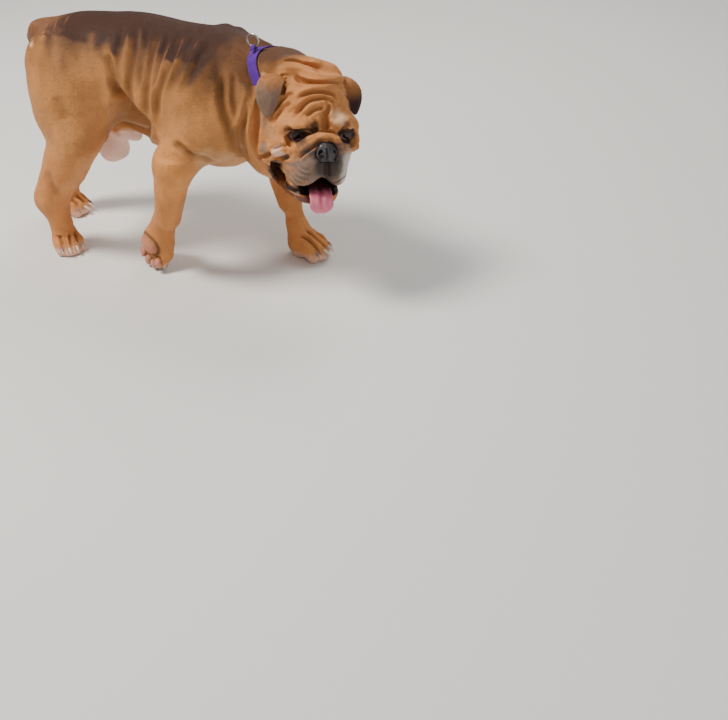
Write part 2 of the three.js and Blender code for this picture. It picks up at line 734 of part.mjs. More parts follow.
// Nose leather, with a comma of nostril on each side
const noseField = within(
  HEAD_FRAME,
  crease(
    carve(
      2,
      blend(
        6,
        ellipsoid([33, 0, -17], [14, NOSE_HALF_WIDTH, 17], -14),
        onBothSides(ellipsoid([36, NOSE_HALF_WIDTH - 10, -25], [12, 11, 10])),
      ),
      onBothSides(blend(2, rod([52, 8, -25, 4], [42, 12, -23, 3.6]), rod([48, 12, -23, 3], [40, 19, -29, 2]))),
    ),
    3,
    2.5,
    [52, 0, -18],
    [48, 0, -38],
  ),
);
const noseBox = new THREE.Box3().setFromCenterAndSize(
  new THREE.Vector3(36, 0, -20).applyMatrix4(HEAD_FRAME),
  new THREE.Vector3(74, 74, 74),
);
const nose = largest(solidOf(skinOf(noseField, noseBox, FINE_CELL)));

// Tongue: out over the lower lip and hanging in front of it
const TONGUE_LINE = new THREE.CatmullRomCurve3([
  new THREE.Vector3(-18, 0, -84),
  new THREE.Vector3(10, -1, -87),
  new THREE.Vector3(30, -3, -90),
  new THREE.Vector3(42, -4, -98),
  new THREE.Vector3(45, -4, -110),
  new THREE.Vector3(43, -3, -121),
]);
function tongue() {
  const rows = 12;
  const sides = 12;
  const rings = [];
  for (let r = 0; r <= rows; r++) {
    const t = r / rows;
    const along = TONGUE_LINE.getTangent(t);
    const up = new THREE.Vector3(-along.z, 0, along.x);
    const broad = TONGUE_HALF_WIDTH * Math.min(1, Math.sqrt(Math.max(1.02 - t, 0.02) * 4)) * (0.82 + 0.18 * t);
    const thick = 3.4 * Math.min(1, Math.sqrt(Math.max(1.02 - t, 0.02) * 5));
    rings.push(
      Array.from({ length: sides }, (_, s) => {
        const angle = (s / sides) * 2 * Math.PI;
        const y = Math.cos(angle) * broad;
        const lift = Math.sin(angle) * thick + 2.5 * (y / broad) ** 2;
        return TONGUE_LINE.getPoint(t).addScaledVector(up, lift).add(new THREE.Vector3(0, y, 0));
      }),
    );
  }
  return facingOut(gridGeometry(rings, false).applyMatrix4(HEAD_FRAME));
}

// Claws: short, blunt and curved, one to a toe
function claw({ frame, size }, { across, reach }) {
  const rings = [];
  for (let r = 0; r <= 3; r++) {
    const bend = (r / 3) * 0.95;
    const radius = [4, 3.9, 3, 1.4][r];
    rings.push(
      Array.from({ length: 6 }, (_, s) => {
        const angle = (s / 6) * 2 * Math.PI;
        const far = 18 - Math.cos(angle) * radius;
        return new THREE.Vector3(
          reach + 1.5 + Math.sin(bend) * far,
          across + Math.sin(angle) * radius * 0.8,
          4 + Math.cos(bend) * far,
        );
      }),
    );
  }
  const geometry = gridGeometry(rings, false).scale(size, size, size);
  return facingOut(geometry.applyMatrix4(frame));
}

const clawSolids = {};
for (const [name, paw] of Object.entries(PAWS))
  TOES.forEach((toe, n) => {
    clawSolids[name.replace("paw", "claw") + "_" + (n + 1)] = claw(paw, toe).subtract(floor);
  });

// Collar: a band of webbing that lies on the neck, a ring on a keeper, and a buckle
function reachOf(across, angle, clear) {
  const along = across + sag(angle);
  const dir = new THREE.Vector3(0, Math.cos(angle), Math.sin(angle)).transformDirection(COLLAR_FRAME);
  const from = new THREE.Vector3(along, 0, 0).applyMatrix4(COLLAR_FRAME);
  let low = 20;
  let high = 160;
  while (high - low > 0.05) {
    const middle = (low + high) / 2;
    const p = from.clone().addScaledVector(dir, middle);
    if (collarSeat(p.x, p.y, p.z) < clear) low = middle;
    else high = middle;
  }
  return low;
}

const onCollar = (x, angle, radius) =>
  new THREE.Vector3(x + sag(angle), Math.cos(angle) * radius, Math.sin(angle) * radius).applyMatrix4(COLLAR_FRAME);

function collarBand(spare = 0) {
  const stations = 40;
  const half = BAND_WIDTH / 2 + spare;
  const rings = Array.from({ length: stations }, (_, n) => {
    const angle = (n / stations) * 2 * Math.PI;
    const low = reachOf(-BAND_WIDTH / 2, angle, 1.2);
    const high = reachOf(BAND_WIDTH / 2, angle, 1.2);
    return [
      [-half, low - spare],
      [half, high - spare],
      [half, high + BAND_THICKNESS + spare],
      [-half, low + BAND_THICKNESS + spare],
    ].map(([x, radius]) => onCollar(x, angle, radius));
  });
  return facingOut(gridGeometry(rings, true));
}

// A frame on the outer face of the band: its +Z looks away from the neck, its +X across the band
function onBand(angle, lift) {
  const out = (x) => onCollar(x, angle, reachOf(x, angle, 1.2) + BAND_THICKNESS);
  const across = out(BAND_WIDTH / 2).sub(out(-BAND_WIDTH / 2));
  const away = new THREE.Vector3(0, Math.cos(angle), Math.sin(angle)).transformDirection(COLLAR_FRAME);
  const place = out(0);
  const frame = frameFacing(place.toArray(), across.toArray(), away.toArray());
  return frame.multiply(new THREE.Matrix4().makeTranslation(0, 0, lift));
}

const RING_ANGLE = THREE.MathUtils.degToRad(92);
const BUCKLE_ANGLE = THREE.MathUtils.degToRad(-8);
function ringKeeper() {
  const eyeHole = RING_WIRE + 0.8;
  const profile = new THREE.Shape()
    .moveTo(-8, 0)
    .lineTo(8, 0)
    .lineTo(5, 5.5)
    .quadraticCurveTo(0, 10, -5, 5.5)
    .closePath();
  profile.holes.push(new THREE.Path().absarc(0, 3.9, eyeHole, 0, 2 * Math.PI, true));
  const geometry = new THREE.ExtrudeGeometry(profile, { depth: 6, bevelEnabled: false, curveSegments: 8 });
  geometry.translate(0, 0, -3).rotateX(Math.PI / 2).rotateZ(Math.PI / 2);
  return solidOf(geometry.applyMatrix4(onBand(RING_ANGLE, 0.9)));
}

function collarRing() {
  const geometry = new THREE.TorusGeometry(RING_RADIUS, RING_WIRE, 6, 16);
  geometry.rotateX(Math.PI / 2).translate(0, 0, 3.9 + RING_RADIUS);
  return solidOf(geometry.applyMatrix4(onBand(RING_ANGLE, 0.9)));
}

function buckle() {
  const plate = new THREE.Shape()
    .moveTo(-13, -19)
    .lineTo(13, -19)
    .quadraticCurveTo(16, -19, 16, -16)
    .lineTo(16, 16)
    .quadraticCurveTo(16, 19, 13, 19)
    .lineTo(-13, 19)
    .quadraticCurveTo(-16, 19, -16, 16)
    .lineTo(-16, -16)
    .quadraticCurveTo(-16, -19, -13, -19);
  const bevel = { bevelEnabled: true, bevelSize: 1, bevelThickness: 1, bevelSegments: 1 };
  const geometry = new THREE.ExtrudeGeometry(plate, { depth: 4, curveSegments: 3, ...bevel });
  return solidOf(geometry.translate(0, 0, 1).applyMatrix4(onBand(BUCKLE_ANGLE, 2)));
}

// Putting the dog together
const FAWN = 0xb9824e;
const PALE_SKIN = 0xd9a18c;
const LEATHER = 0x2b2423;
const TONGUE_PINK = 0xcf6f7c;
const HORN = 0xd8cbb6;
const WEBBING = 0x5b2a8c;
const dog = new THREE.Group();
function add(name, solid, colour, roughness = 0.85, metalness = 0) {
  const material = new THREE.MeshStandardMaterial({ color: colour, roughness, metalness });
  const mesh = new THREE.Mesh(geometryOf(solid), material);
  mesh.name = name;
  dog.add(mesh);
}

const tongueSolid = tongue();
const eyes = { right: eye(-1), left: eye(1) };

// The head is cut into skull and lower jaw along the line of the mouth
const JAW_REGION = {
  frame: HEAD_FRAME.clone().multiply(
    frameAt(new THREE.Vector3(-5, 0, -79), { pitch: 17 }).multiply(
      new THREE.Matrix4().makeTranslation(30, 0, -60),
    ),
  ),
  size: [150, 150, 120],
};
const band = collarBand();
const bandClear = collarBand(0.6);
const ears = { right: ear(-1).subtract(bandClear), left: ear(1).subtract(bandClear) };
const guests = [bandClear, ...[eyes.right, eyes.left, nose, tongueSolid].map((solid) => grown(solid))];
const lidded = fleshSolids.head
  .add(lids(-1))
  .add(lids(1))
  .subtract(grown(ears.right))
  .subtract(grown(ears.left));
const carvedHead = guests.reduce((solid, guest) => solid.subtract(guest), lidded);
const lowerJaw = largest(carvedHead.intersect(boxSolid(JAW_REGION)));
const upperHead = largest(carvedHead.subtract(boxSolid(JAW_REGION, GAP)));

add("torso", fleshSolids.torso, FAWN);
add("neck", largest(fleshSolids.neck.subtract(bandClear)), FAWN);
add("head", upperHead, FAWN);
add("lower_jaw", lowerJaw, FAWN);
add("ear_right", ears.right, FAWN);
add("ear_left", ears.left, FAWN);
add("eye_right", eyes.right, LEATHER, 0.15);
add("eye_left", eyes.left, LEATHER, 0.15);
add("nose", nose, LEATHER, 0.45);
add("tongue", tongueSolid, TONGUE_PINK, 0.35);
add("tail", fleshSolids.tail, FAWN);
add("sheath", fleshSolids.sheath, PALE_SKIN);
add("scrotum", fleshSolids.scrotum, PALE_SKIN);
for (const name of ["foreleg_right", "foreleg_left", "hindleg_right", "hindleg_left"])
  add(name, fleshSolids[name], FAWN);
for (const name of Object.keys(PAWS)) {
  const own = Object.entries(clawSolids).filter(([claw]) => claw.startsWith(name.replace("paw", "claw")));
  const toesFree = own.reduce((paw, [, solid]) => paw.subtract(grown(solid)), fleshSolids[name]);
  add(name, largest(toesFree), FAWN);
  own.forEach(([claw, solid]) => add(claw, solid, HORN, 0.5));
}
add("collar_band", band, WEBBING, 0.9);
add("collar_keeper", ringKeeper(), WEBBING, 0.9);
add("collar_ring", collarRing(), 0xb8bcc0, 0.25, 1);
add("collar_buckle", buckle(), 0x1d1d1f, 0.5);

// The middle of the underside of its box becomes the origin
dog.updateMatrixWorld(true);
const bounds = new THREE.Box3().setFromObject(dog);
const middle = bounds.getCenter(new THREE.Vector3());
for (const mesh of dog.children) mesh.geometry.translate(-middle.x, -middle.y, -bounds.min.z);

export default dog;
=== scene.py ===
# %% [markdown]
# # An English bulldog, standing, with its head turned to the camera
# The solids give the size and the pose. This lesson dresses them: one skin over the flesh, folds
# sculpted into it, a short coat, and the separate things that a dog's face and collar are made of.
# Every length is worked out in millimetres, in the same body frame as the solids, and then
# moved into the metres of the scene.

# %% Load the solids
import json
import math

import bmesh
import bpy
import numpy as np
from mathutils import Euler, Matrix, Vector
from mathutils.bvhtree import BVHTree

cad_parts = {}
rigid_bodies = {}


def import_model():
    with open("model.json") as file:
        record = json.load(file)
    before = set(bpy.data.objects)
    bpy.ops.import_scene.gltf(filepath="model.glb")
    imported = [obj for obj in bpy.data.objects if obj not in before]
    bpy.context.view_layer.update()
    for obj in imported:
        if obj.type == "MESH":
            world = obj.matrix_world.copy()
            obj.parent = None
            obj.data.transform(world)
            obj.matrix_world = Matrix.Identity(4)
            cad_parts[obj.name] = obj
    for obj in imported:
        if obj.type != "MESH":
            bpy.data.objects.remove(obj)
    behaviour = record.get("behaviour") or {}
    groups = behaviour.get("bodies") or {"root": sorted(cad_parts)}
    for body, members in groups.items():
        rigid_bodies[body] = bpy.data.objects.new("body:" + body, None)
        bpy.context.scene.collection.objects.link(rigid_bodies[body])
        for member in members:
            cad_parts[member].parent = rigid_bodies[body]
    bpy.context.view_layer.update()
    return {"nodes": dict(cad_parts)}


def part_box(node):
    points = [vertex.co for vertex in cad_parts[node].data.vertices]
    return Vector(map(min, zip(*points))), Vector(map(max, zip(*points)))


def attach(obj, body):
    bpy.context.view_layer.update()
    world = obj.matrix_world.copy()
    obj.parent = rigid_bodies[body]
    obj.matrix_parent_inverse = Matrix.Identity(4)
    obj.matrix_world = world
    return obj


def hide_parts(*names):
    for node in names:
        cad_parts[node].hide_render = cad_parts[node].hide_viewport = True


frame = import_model()
nodes = frame["nodes"]

# %% [markdown]
# The head has a frame of its own: X out of the face, Y to the dog's left, Z up, with its origin
# between the eyes. The eye's solid tells how far the whole dog was shifted when its box was
# centred, so both frames can be found again from one known place.

# %% Frames of the body and of the head
MM = 0.001
FULL_TURN = 2 * math.pi
SIDES = {"right": -1, "left": 1}


def turned(*degrees):
    """A turn about X, Y and Z."""
    return Euler([math.radians(a) for a in degrees])


HEAD_PLACE = Vector((325, -69, 303))
HEAD_TURN = turned(-7, -3.2, -51.7)  # roll, pitch and yaw
EYE_PLACE = Vector((-5, 41, 0))  # the left one, in the head's frame
EYE_RADIUS = 12
head_in_body = Matrix.Translation(HEAD_PLACE) @ HEAD_TURN.to_matrix().to_4x4()
eye_low, eye_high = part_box("eye_left")
shift = (eye_low + eye_high) / 2 - MM * (head_in_body @ EYE_PLACE)
BODY = Matrix.Translation(shift) @ Matrix.Scale(MM, 4)
HEAD = BODY @ head_in_body


def placed(matrix, points):
    """Points in a frame of millimetres, as an array of places in the scene."""
    points = np.atleast_2d(np.array(points, float))
    turn = np.array(matrix)
    return points @ turn[:3, :3].T + turn[:3, 3]


def seen_from(matrix, places):
    """Places of the scene, as an array of points in a frame of millimetres."""
    return placed(matrix.inverted(), places)


def towards(matrix, way):
    """A way in a frame, as a way in the scene."""
    return np.array((matrix.to_3x3().normalized() @ Vector(way)).normalized())


print("the dog was shifted by", [round(v * 1000, 1) for v in shift], "mm")

# %% [markdown]
# The picture looks down at the dog from nearly a metre up. A camera with that view is set up first,
# because the folds are marked in the picture: a line through the middle of the lens and a place in
# the picture meets the skin where the fold runs.

# %% The camera, and sight lines through its picture
PICTURE = (728, 720)
LENS_PLACE = (913.4, -1481.6, 960)
SENSOR, LENS = 36, 49.45  # millimetres


def linked(name, data):
    """A new object of the scene, with this data."""
    piece = bpy.data.objects.new(name, data)
    bpy.context.scene.collection.objects.link(piece)
    return piece


camera = linked("camera", bpy.data.cameras.new("camera"))
camera.location = BODY @ Vector(LENS_PLACE)
camera.rotation_euler = turned(54, 0, 20)
camera.data.sensor_width = SENSOR
camera.data.lens = LENS
bpy.context.scene.camera = camera
bpy.context.view_layer.update()
FOCAL = camera.data.lens / camera.data.sensor_width * PICTURE[0]
lens = np.array(camera.location)


def sight(u, v):
    """The way from the lens through a place in the picture, counted from its top left corner."""
    across = (u - PICTURE[0] / 2) / FOCAL
    up = (PICTURE[1] / 2 - v) / FOCAL
    return (camera.matrix_world.to_3x3() @ Vector((across, up, -1))).normalized()


def in_picture(places):
    """Where places of the scene are seen in the picture."""
    local = placed(camera.matrix_world.inverted(), places)
    spots = local[:, :2] * (1, -1) * FOCAL / -local[:, 2:]
    return spots + np.array(PICTURE) / 2


def inside_by(spots, outline):
    """How far spots of the picture are inside a closed outline; outside, the number is below 0."""
    outline = np.array(outline, float)
    off = np.full(len(spots), np.inf)
    inside = np.zeros(len(spots), bool)
    for a, b in zip(outline, np.roll(outline, -1, axis=0)):
        along = b - a
        share = np.clip((spots - a) @ along / (along @ along), 0, 1)
        off = np.minimum(off, np.linalg.norm(spots - a - share[:, None] * along, axis=1))
        spans = (a[1] > spots[:, 1]) != (b[1] > spots[:, 1])
        rise = along[1] if along[1] else 1e-9
        inside ^= spans & (spots[:, 0] < a[0] + (spots[:, 1] - a[1]) * along[0] / rise)
    return np.where(inside, off, -off)


print("focal length", round(FOCAL), "picture points")

# %% [markdown]
# # The skin
# A real skin has no seams, so the solids of the flesh are joined, and a voxel remesh wraps them in
# one new surface of even squares. The collar's solid goes in too: where the folds of the neck close
# over the collar, it fills the space that it lies in.

# %% One surface over all the flesh
FLESH = ["torso", "neck", "head", "lower_jaw", "tail", "sheath", "scrotum"]
FLESH += [f"{leg}leg_{side}" for leg in ("fore", "hind") for side in ("right", "left")]
FLESH += [f"{leg}paw_{side}" for leg in ("fore", "hind") for side in ("right", "left")]
VOXEL = 1.75  # millimetres
OVERLAP = 0.5 * MM  # each solid is grown by this, so that neighbours run into each other


def merged(names, grown=0):
    """A new bmesh of these nodes, each closed up again and grown outwards."""
    bm = bmesh.new()
    for name in names:
        bm.from_mesh(nodes[name].data)
    bmesh.ops.remove_doubles(bm, verts=bm.verts, dist=MM / 1000)
    bm.normal_update()
    for vert in bm.verts:
        vert.co += vert.normal * grown
    return bm


def finished(name, bm):
    """A new object of the scene, with this bmesh as its mesh."""
    mesh = bpy.data.meshes.new(name)
    bm.to_mesh(mesh)
    bm.free()
    return linked(name, mesh)


def shaped(piece, kind, **settings):
    """Adds one modifier, and makes what it gives the piece's own mesh."""
    modifier = piece.modifiers.new(kind.lower(), kind)
    for key, value in settings.items():
        setattr(modifier, key, value)
    graph = bpy.context.evaluated_depsgraph_get()
    mesh = bpy.data.meshes.new_from_object(piece.evaluated_get(graph), depsgraph=graph)
    piece.modifiers.clear()
    piece.data = mesh
    mesh.name = piece.name
    return piece


def remeshed(piece, voxel):
    """Wraps a piece in one surface of even squares, this many millimetres wide."""
    return shaped(piece, "REMESH", mode="VOXEL", voxel_size=voxel * MM, use_smooth_shade=True)


def numbers(items, what, width=1, kind=np.float32):
    """One property of all the vertices, faces or the like, with a row for each of them."""
    values = np.empty(len(items) * width, kind)
    items.foreach_get(what, values)
    return values.reshape(-1, width) if width > 1 else values


def set_numbers(items, what, values, kind=np.float32):
    """Sets one property of all the vertices, faces or the like."""
    items.foreach_set(what, np.asarray(values, kind).ravel())


def points_of(piece):
    return numbers(piece.data.vertices, "co", 3).astype(float)


def normals_of(piece):
    return numbers(piece.data.vertex_normals, "vector", 3).astype(float)


def set_points(piece, points):
    set_numbers(piece.data.vertices, "co", points)
    piece.data.update()


skin = finished("skin", merged(FLESH + ["collar_band"], OVERLAP))
remeshed(skin, VOXEL)
print("skin:", len(skin.data.vertices), "vertices")

# %% [markdown]
# The solids are coarse, so their flat facets have to be smoothed out, broadly on the trunk and only
# a little on the face and feet. A vertex group says how much each place gives way.

# %% Smooth the facets away
def smoothstep(low, high, value):
    """0 up to the low value, 1 from the high one on, and a soft step between them."""
    share = np.clip((value - low) / (high - low), 0, 1)
    return share * share * (3 - 2 * share)


def near_place(points, matrix, place, radii):
    """How far points are from a place, as a share of the radii along the frame's axes."""
    return np.linalg.norm((seen_from(matrix, points) - place) / np.array(radii, float), axis=1)


def shared_out(piece, share):
    """A vertex group that gives each vertex its share, in tenths."""
    group = piece.vertex_groups.new(name="share")
    tenths = np.round(share, 1)
    for level in np.unique(tenths):
        if level > 0:
            group.add(np.nonzero(tenths == level)[0].tolist(), float(level), "REPLACE")
    return group.name


def softened(piece, share, rounds):
    """Smooths a piece, by a share for each vertex."""
    group = shared_out(piece, share)
    shaped(piece, "SMOOTH", factor=0.5, iterations=rounds, vertex_group=group)
    piece.vertex_groups.clear()


ROUNDS, WRIST_ROUNDS = 60, 150
LEG_GIVE, FOOT_GIVE, HEAD_GIVE = 0.25, 0.1, 0.12
FOOT_TOP, LEG_TOP, TRUNK = 60, 90, 220  # heights in millimetres
points = points_of(skin)
height = seen_from(BODY, points)[:, 2]
in_head = smoothstep(1.15, 0.85, near_place(points, HEAD, (-30, 0, -25), (105, 115, 125)))
give = LEG_GIVE + (1 - LEG_GIVE) * smoothstep(LEG_TOP, TRUNK, height)
give = np.where(height < FOOT_TOP, FOOT_GIVE, give)
give = give * (1 - in_head) + HEAD_GIVE * in_head
softened(skin, give, ROUNDS)
wrist = near_place(points, BODY, (-4, -104, 108), (48, 52, 44))  # where the lifted paw is joined on
softened(skin, smoothstep(1.2, 0.75, wrist), WRIST_ROUNDS)
print("smoothed by", round(float(give.mean()), 2), "on average")

# %% [markdown]
# # Folds
# A bulldog is made of folds. Each one is a line on the skin, with a width and a depth, so one
# function does them all: it sinks the skin along the line and lifts the two banks beside it. A
# negative depth raises a rope instead. The lines are marked in the picture and land on the skin
# along the camera's sight lines, which puts them where the real ones run.

# %% Lines on the skin, and a function that folds the skin along one
SOFT_END = 0.2  # share of a line over which a fold comes and goes
JUMP = 22  # millimetres; a line that jumps further from one mark to the next has left the piece
PRESS_REACH = 60  # millimetres; an outline presses only what is this near its middle
NEAR_SIDE = 10  # millimetres; what lies this far behind the first thing that the lens sees is hidden


def curve_through(marks, steps=6):
    """A smooth run of points through a few marks."""
    marks = np.array(marks, float)
    ends = np.vstack([2 * marks[0] - marks[1], marks, 2 * marks[-1] - marks[-2]])
    share = np.linspace(0, 1, steps, endpoint=False)[:, None]
    runs = []
    for a, b, c, d in zip(ends[:-3], ends[1:-2], ends[2:-1], ends[3:]):
        bend = (2 * a - 5 * b + 4 * c - d) * share**2 + (3 * b - a - 3 * c + d) * share**3
        runs.append((2 * b + (c - a) * share + bend) / 2)
    return np.vstack(runs + [marks[-1:]])


def near_line(points, line, reach):
    """Which points lie within reach of a line, how far off, and at what share of its length."""
    low, high = line.min(0) - reach, line.max(0) + reach
    found = np.nonzero(((points > low) & (points < high)).all(1))[0]
    local = points[found]
    best = np.full(len(found), np.inf)
    share = np.zeros(len(found))
    for n, (a, b) in enumerate(zip(line[:-1], line[1:])):
        along = b - a
        t = np.clip((local - a) @ along / max(along @ along, 1e-12), 0, 1)
        off = np.linalg.norm(local - a - t[:, None] * along, axis=1)
        closer = off < best
        best[closer] = off[closer]
        share[closer] = (n + t[closer]) / (len(line) - 1)
    near = best < reach
    return found[near], best[near], share[near]


def mirrored(points, matrix=HEAD):
    """Places of the scene, mirrored from one side of a frame to the other."""
    return placed(matrix, seen_from(matrix, points) * (1, -1, 1))


class Clay:
    """A piece while it is sculpted: its points, their normals and how deep each lies in a crease, which is
    later painted as shade.
    """

    def __init__(self, piece):
        self.piece = piece
        self.points = points_of(piece)
        self.normals = normals_of(piece)
        self.crease_shade = np.zeros(len(self.points))
        self.tree = BVHTree.FromObject(piece, bpy.context.evaluated_depsgraph_get())

    def seen(self, marks):
        """A line of marks in the picture, as places on the piece and the way that it faces there."""
        hits = [self.tree.ray_cast(camera.location, sight(u, v)) for u, v in curve_through(marks)]
        hits = [hit for hit in hits if hit[0] is not None]
        away = np.array([hit[3] for hit in hits])
        breaks = np.nonzero(np.abs(np.diff(away)) > JUMP * MM)[0] + 1
        runs = np.split(np.arange(len(hits)), breaks)
        longest = max(runs, key=len)
        return np.array([hits[n][0] for n in longest]), np.array([hits[n][1] for n in longest])

    def nearest(self, places):
        """A line of places in the scene, drawn to the nearest places on the piece."""
        hits = [self.tree.find_nearest(place) for place in places]
        return np.array([hit[0] for hit in hits]), np.array([hit[1] for hit in hits])

    def fold(self, line, facing, width, depth, banks=0.45, soft_end=SOFT_END):
        """Sinks the piece along a line, and lifts its banks. Sizes are in millimetres."""
        if len(line) < 2:
            return
        width = width * MM
        found, off, share = near_line(self.points, line, 4 * width)
        off = off / width
        fade = smoothstep(0, soft_end, share) * smoothstep(1, 1 - soft_end, share)
        same_side = smoothstep(-0.1, 0.4, self.normals[found] @ facing.mean(0))
        profile = banks * np.exp(-((off - 2.1) ** 2)) - np.exp(-(off**2))
        amount = depth * MM * profile * fade * same_side
        self.points[found] += self.normals[found] * amount[:, None]
        # A crease's depth is kept, so that shade can be painted into it later.
        if depth > 0:
            crease = np.exp(-(off**2)) * fade * same_side * min(1, depth / 4)
            self.crease_shade[found] = np.maximum(self.crease_shade[found], crease)

    def press(self, outline, depth, soft, middle):
        """Pushes what an outline in the picture shows away from the lens, and its mirror image too, and keeps
        the dent for painted shade.
        """
        middle = placed(HEAD, middle)[0]
        for mirror in (False, True):
            eye, shown = lens, self.points
            if mirror:
                eye, shown = mirrored(lens)[0], mirrored(self.points)
            inside = inside_by(in_picture(shown), outline)
            inside[np.linalg.norm(shown - middle, axis=1) > PRESS_REACH * MM] = -1
            found = np.nonzero(inside > 0)[0]
            ways = self.points[found] - eye
            away = np.linalg.norm(ways, axis=1)
            ways /= away[:, None]
            first = [self.tree.ray_cast(eye, way)[3] for way in ways]
            front = np.array([hit or 0 for hit in first]) > away - NEAR_SIDE * MM
            share = smoothstep(0, soft, inside[found]) * front
            self.points[found] += ways * (share * depth * MM)[:, None]
            # The dent's share is kept, so that shade can be painted into it.
            self.crease_shade[found] = np.maximum(self.crease_shade[found], share)

    def settle(self):
        """Writes the moved points to the piece, so that the next folds start from new normals."""
        set_points(self.piece, self.points)
        self.normals = normals_of(self.piece)


clay = Clay(skin)
print("clay:", len(clay.points), "points")

# %% [markdown]
# The big forms come first: the ropes over the crown and the nose, the brows, the cheeks, the folds
# of the neck. A line is a width, a depth, and its marks in the picture.

# %% Large folds of the head
HEAD_ROPES = [
    (9, -7, [(262, 72), (272, 64), (284, 60), (297, 59), (312, 61), (326, 67)]),
    (8, -10, [(276, 73), (286, 69), (298, 70), (309, 75), (322, 79), (338, 80), (346, 82)]),
    (6, -4, [(284, 112), (294, 102), (304, 91), (316, 88), (328, 88), (338, 92), (345, 100)]),
    (5, -6, [(291, 157), (295, 150), (303, 144), (313, 139), (324, 136), (333, 138), (341, 145),
             (349, 154)]),
    (6, -5, [(288, 127), (297, 125), (306, 125), (316, 126)]),
    (5, -4, [(332, 124), (340, 123), (348, 126), (353, 131)]),
]
HEAD_CREASES = [
    (3.4, 8, [(280, 67), (286, 64), (294, 63.5), (303, 65.5), (312, 67), (323, 70)]),
    (3.4, 8, [(294, 74), (299, 79.5), (306, 82.5), (315, 84), (326, 84), (338, 82), (346, 84)]),
    (3, 5, [(280, 116), (288, 107), (297, 99), (304, 95), (313, 92.5), (324, 92.5), (334, 96),
            (341, 104)]),
    (3, 5, [(290, 120), (298, 112), (305, 104), (311, 100), (318, 98.5), (326, 98), (333, 102),
            (338, 109)]),
    (3, 4, [(306, 117), (311, 112), (317, 109), (324, 108)]),
    (3, 4, [(325, 99), (329, 105), (328, 111), (325, 117)]),
    (5, 5, [(326, 108), (325.5, 117), (325.5, 126), (326, 133)]),
    (3, 5, [(283, 131), (288, 129), (296, 128), (305, 128), (313, 129), (319, 132)]),
    (3, 4, [(340, 131), (344, 128), (350, 129), (354, 133)]),
    (2.6, 6, [(290, 161), (292, 153), (299, 146), (309, 140), (318, 135), (326, 132.5), (334, 134),
              (342, 142), (351, 154)]),
    (2.6, 6, [(298, 161), (301, 155), (307, 149.5), (314, 144.5), (320, 140.5), (327, 138.5),
              (334, 141), (340, 149)]),
    (4, 6, [(327, 160), (327, 168), (327, 177)]),
    (2.4, 3, [(303, 66), (310, 70), (318, 73)]),
]
NECK_CREASES = [
    (6, 9, [(257, 86), (257, 104), (256, 120), (256, 134), (257, 147), (261, 158), (267, 168)]),
    (5, 6, [(246, 72), (251, 86), (250, 100), (247, 114), (243, 127), (242, 140), (246, 155), (252, 168)]),
    (5, 5, [(239, 122), (237, 136), (240, 150), (246, 162), (250, 170)]),
    (6, 6, [(225, 70), (223, 82), (222, 96), (223, 108), (227, 120), (231, 132), (234, 146), (240, 160)]),
    (5, 3, [(237, 68), (234, 80), (233, 95), (235, 110), (234, 124)]),
]
CHEEK_ROPES = [
    (6, -6, [(271, 155), (278, 151), (288, 150)]),
    (6, -5, [(260, 150), (266, 148), (272, 146)]),
    (7, -4, [(268, 142), (279, 140), (287, 144)]),
]
CHEEK_CREASES = [
    (3, 5, [(286, 134), (288, 141), (294, 147), (300, 146)]),
    (3, 5, [(272, 150), (279, 146.5), (288, 145.5)]),
    (3, 6, [(259, 156), (266, 155), (272, 152)]),
    (3, 5, [(272, 159), (281, 158), (290, 156)]),
    (3, 3, [(272, 126), (277, 116), (284, 107), (292, 101)]),
    (3, 3, [(273, 112), (279, 103), (287, 96), (295, 93)]),
]


COLLAR_PLACE = (232, -24, 338)
COLLAR = BODY @ Matrix.Translation(COLLAR_PLACE) @ turned(0, -14, -6).to_matrix().to_4x4()
FAR_SIDE = 0.7  # how deep a crease is on the left side, as a share of its depth on the right


def fold_both(marks, width, depth, matrix=HEAD, far=1.0, **ways):
    """Folds the skin along marks in the picture, and along their mirror image in a frame."""
    line, facing = clay.seen(marks)
    clay.fold(line, facing, width, depth, **ways)
    clay.fold(*clay.nearest(mirrored(line, matrix)), width, depth * far, **ways)


for width, depth, marks in HEAD_ROPES:
    clay.fold(*clay.seen(marks), width, depth, banks=0)
for width, depth, marks in CHEEK_ROPES:
    fold_both(marks, width, depth, banks=0)
clay.settle()
for width, depth, marks in HEAD_CREASES:
    clay.fold(*clay.seen(marks), width, depth)
for matrix, folds in ((HEAD, CHEEK_CREASES), (COLLAR, NECK_CREASES)):
    for width, depth, marks in folds:
        fold_both(marks, width, depth, matrix, FAR_SIDE)
clay.settle()
single, paired = HEAD_ROPES + HEAD_CREASES, CHEEK_ROPES + CHEEK_CREASES + NECK_CREASES
print("head and neck:", len(single) + 2 * len(paired), "folds")

# %% [markdown]
# Loose skin hangs in upright wrinkles down the flank, from the spine to the belly. The camera sees
# those of the right side. The left side gets the same ones, mirrored and pushed a little along,
# because no two sides of an animal are quite alike.

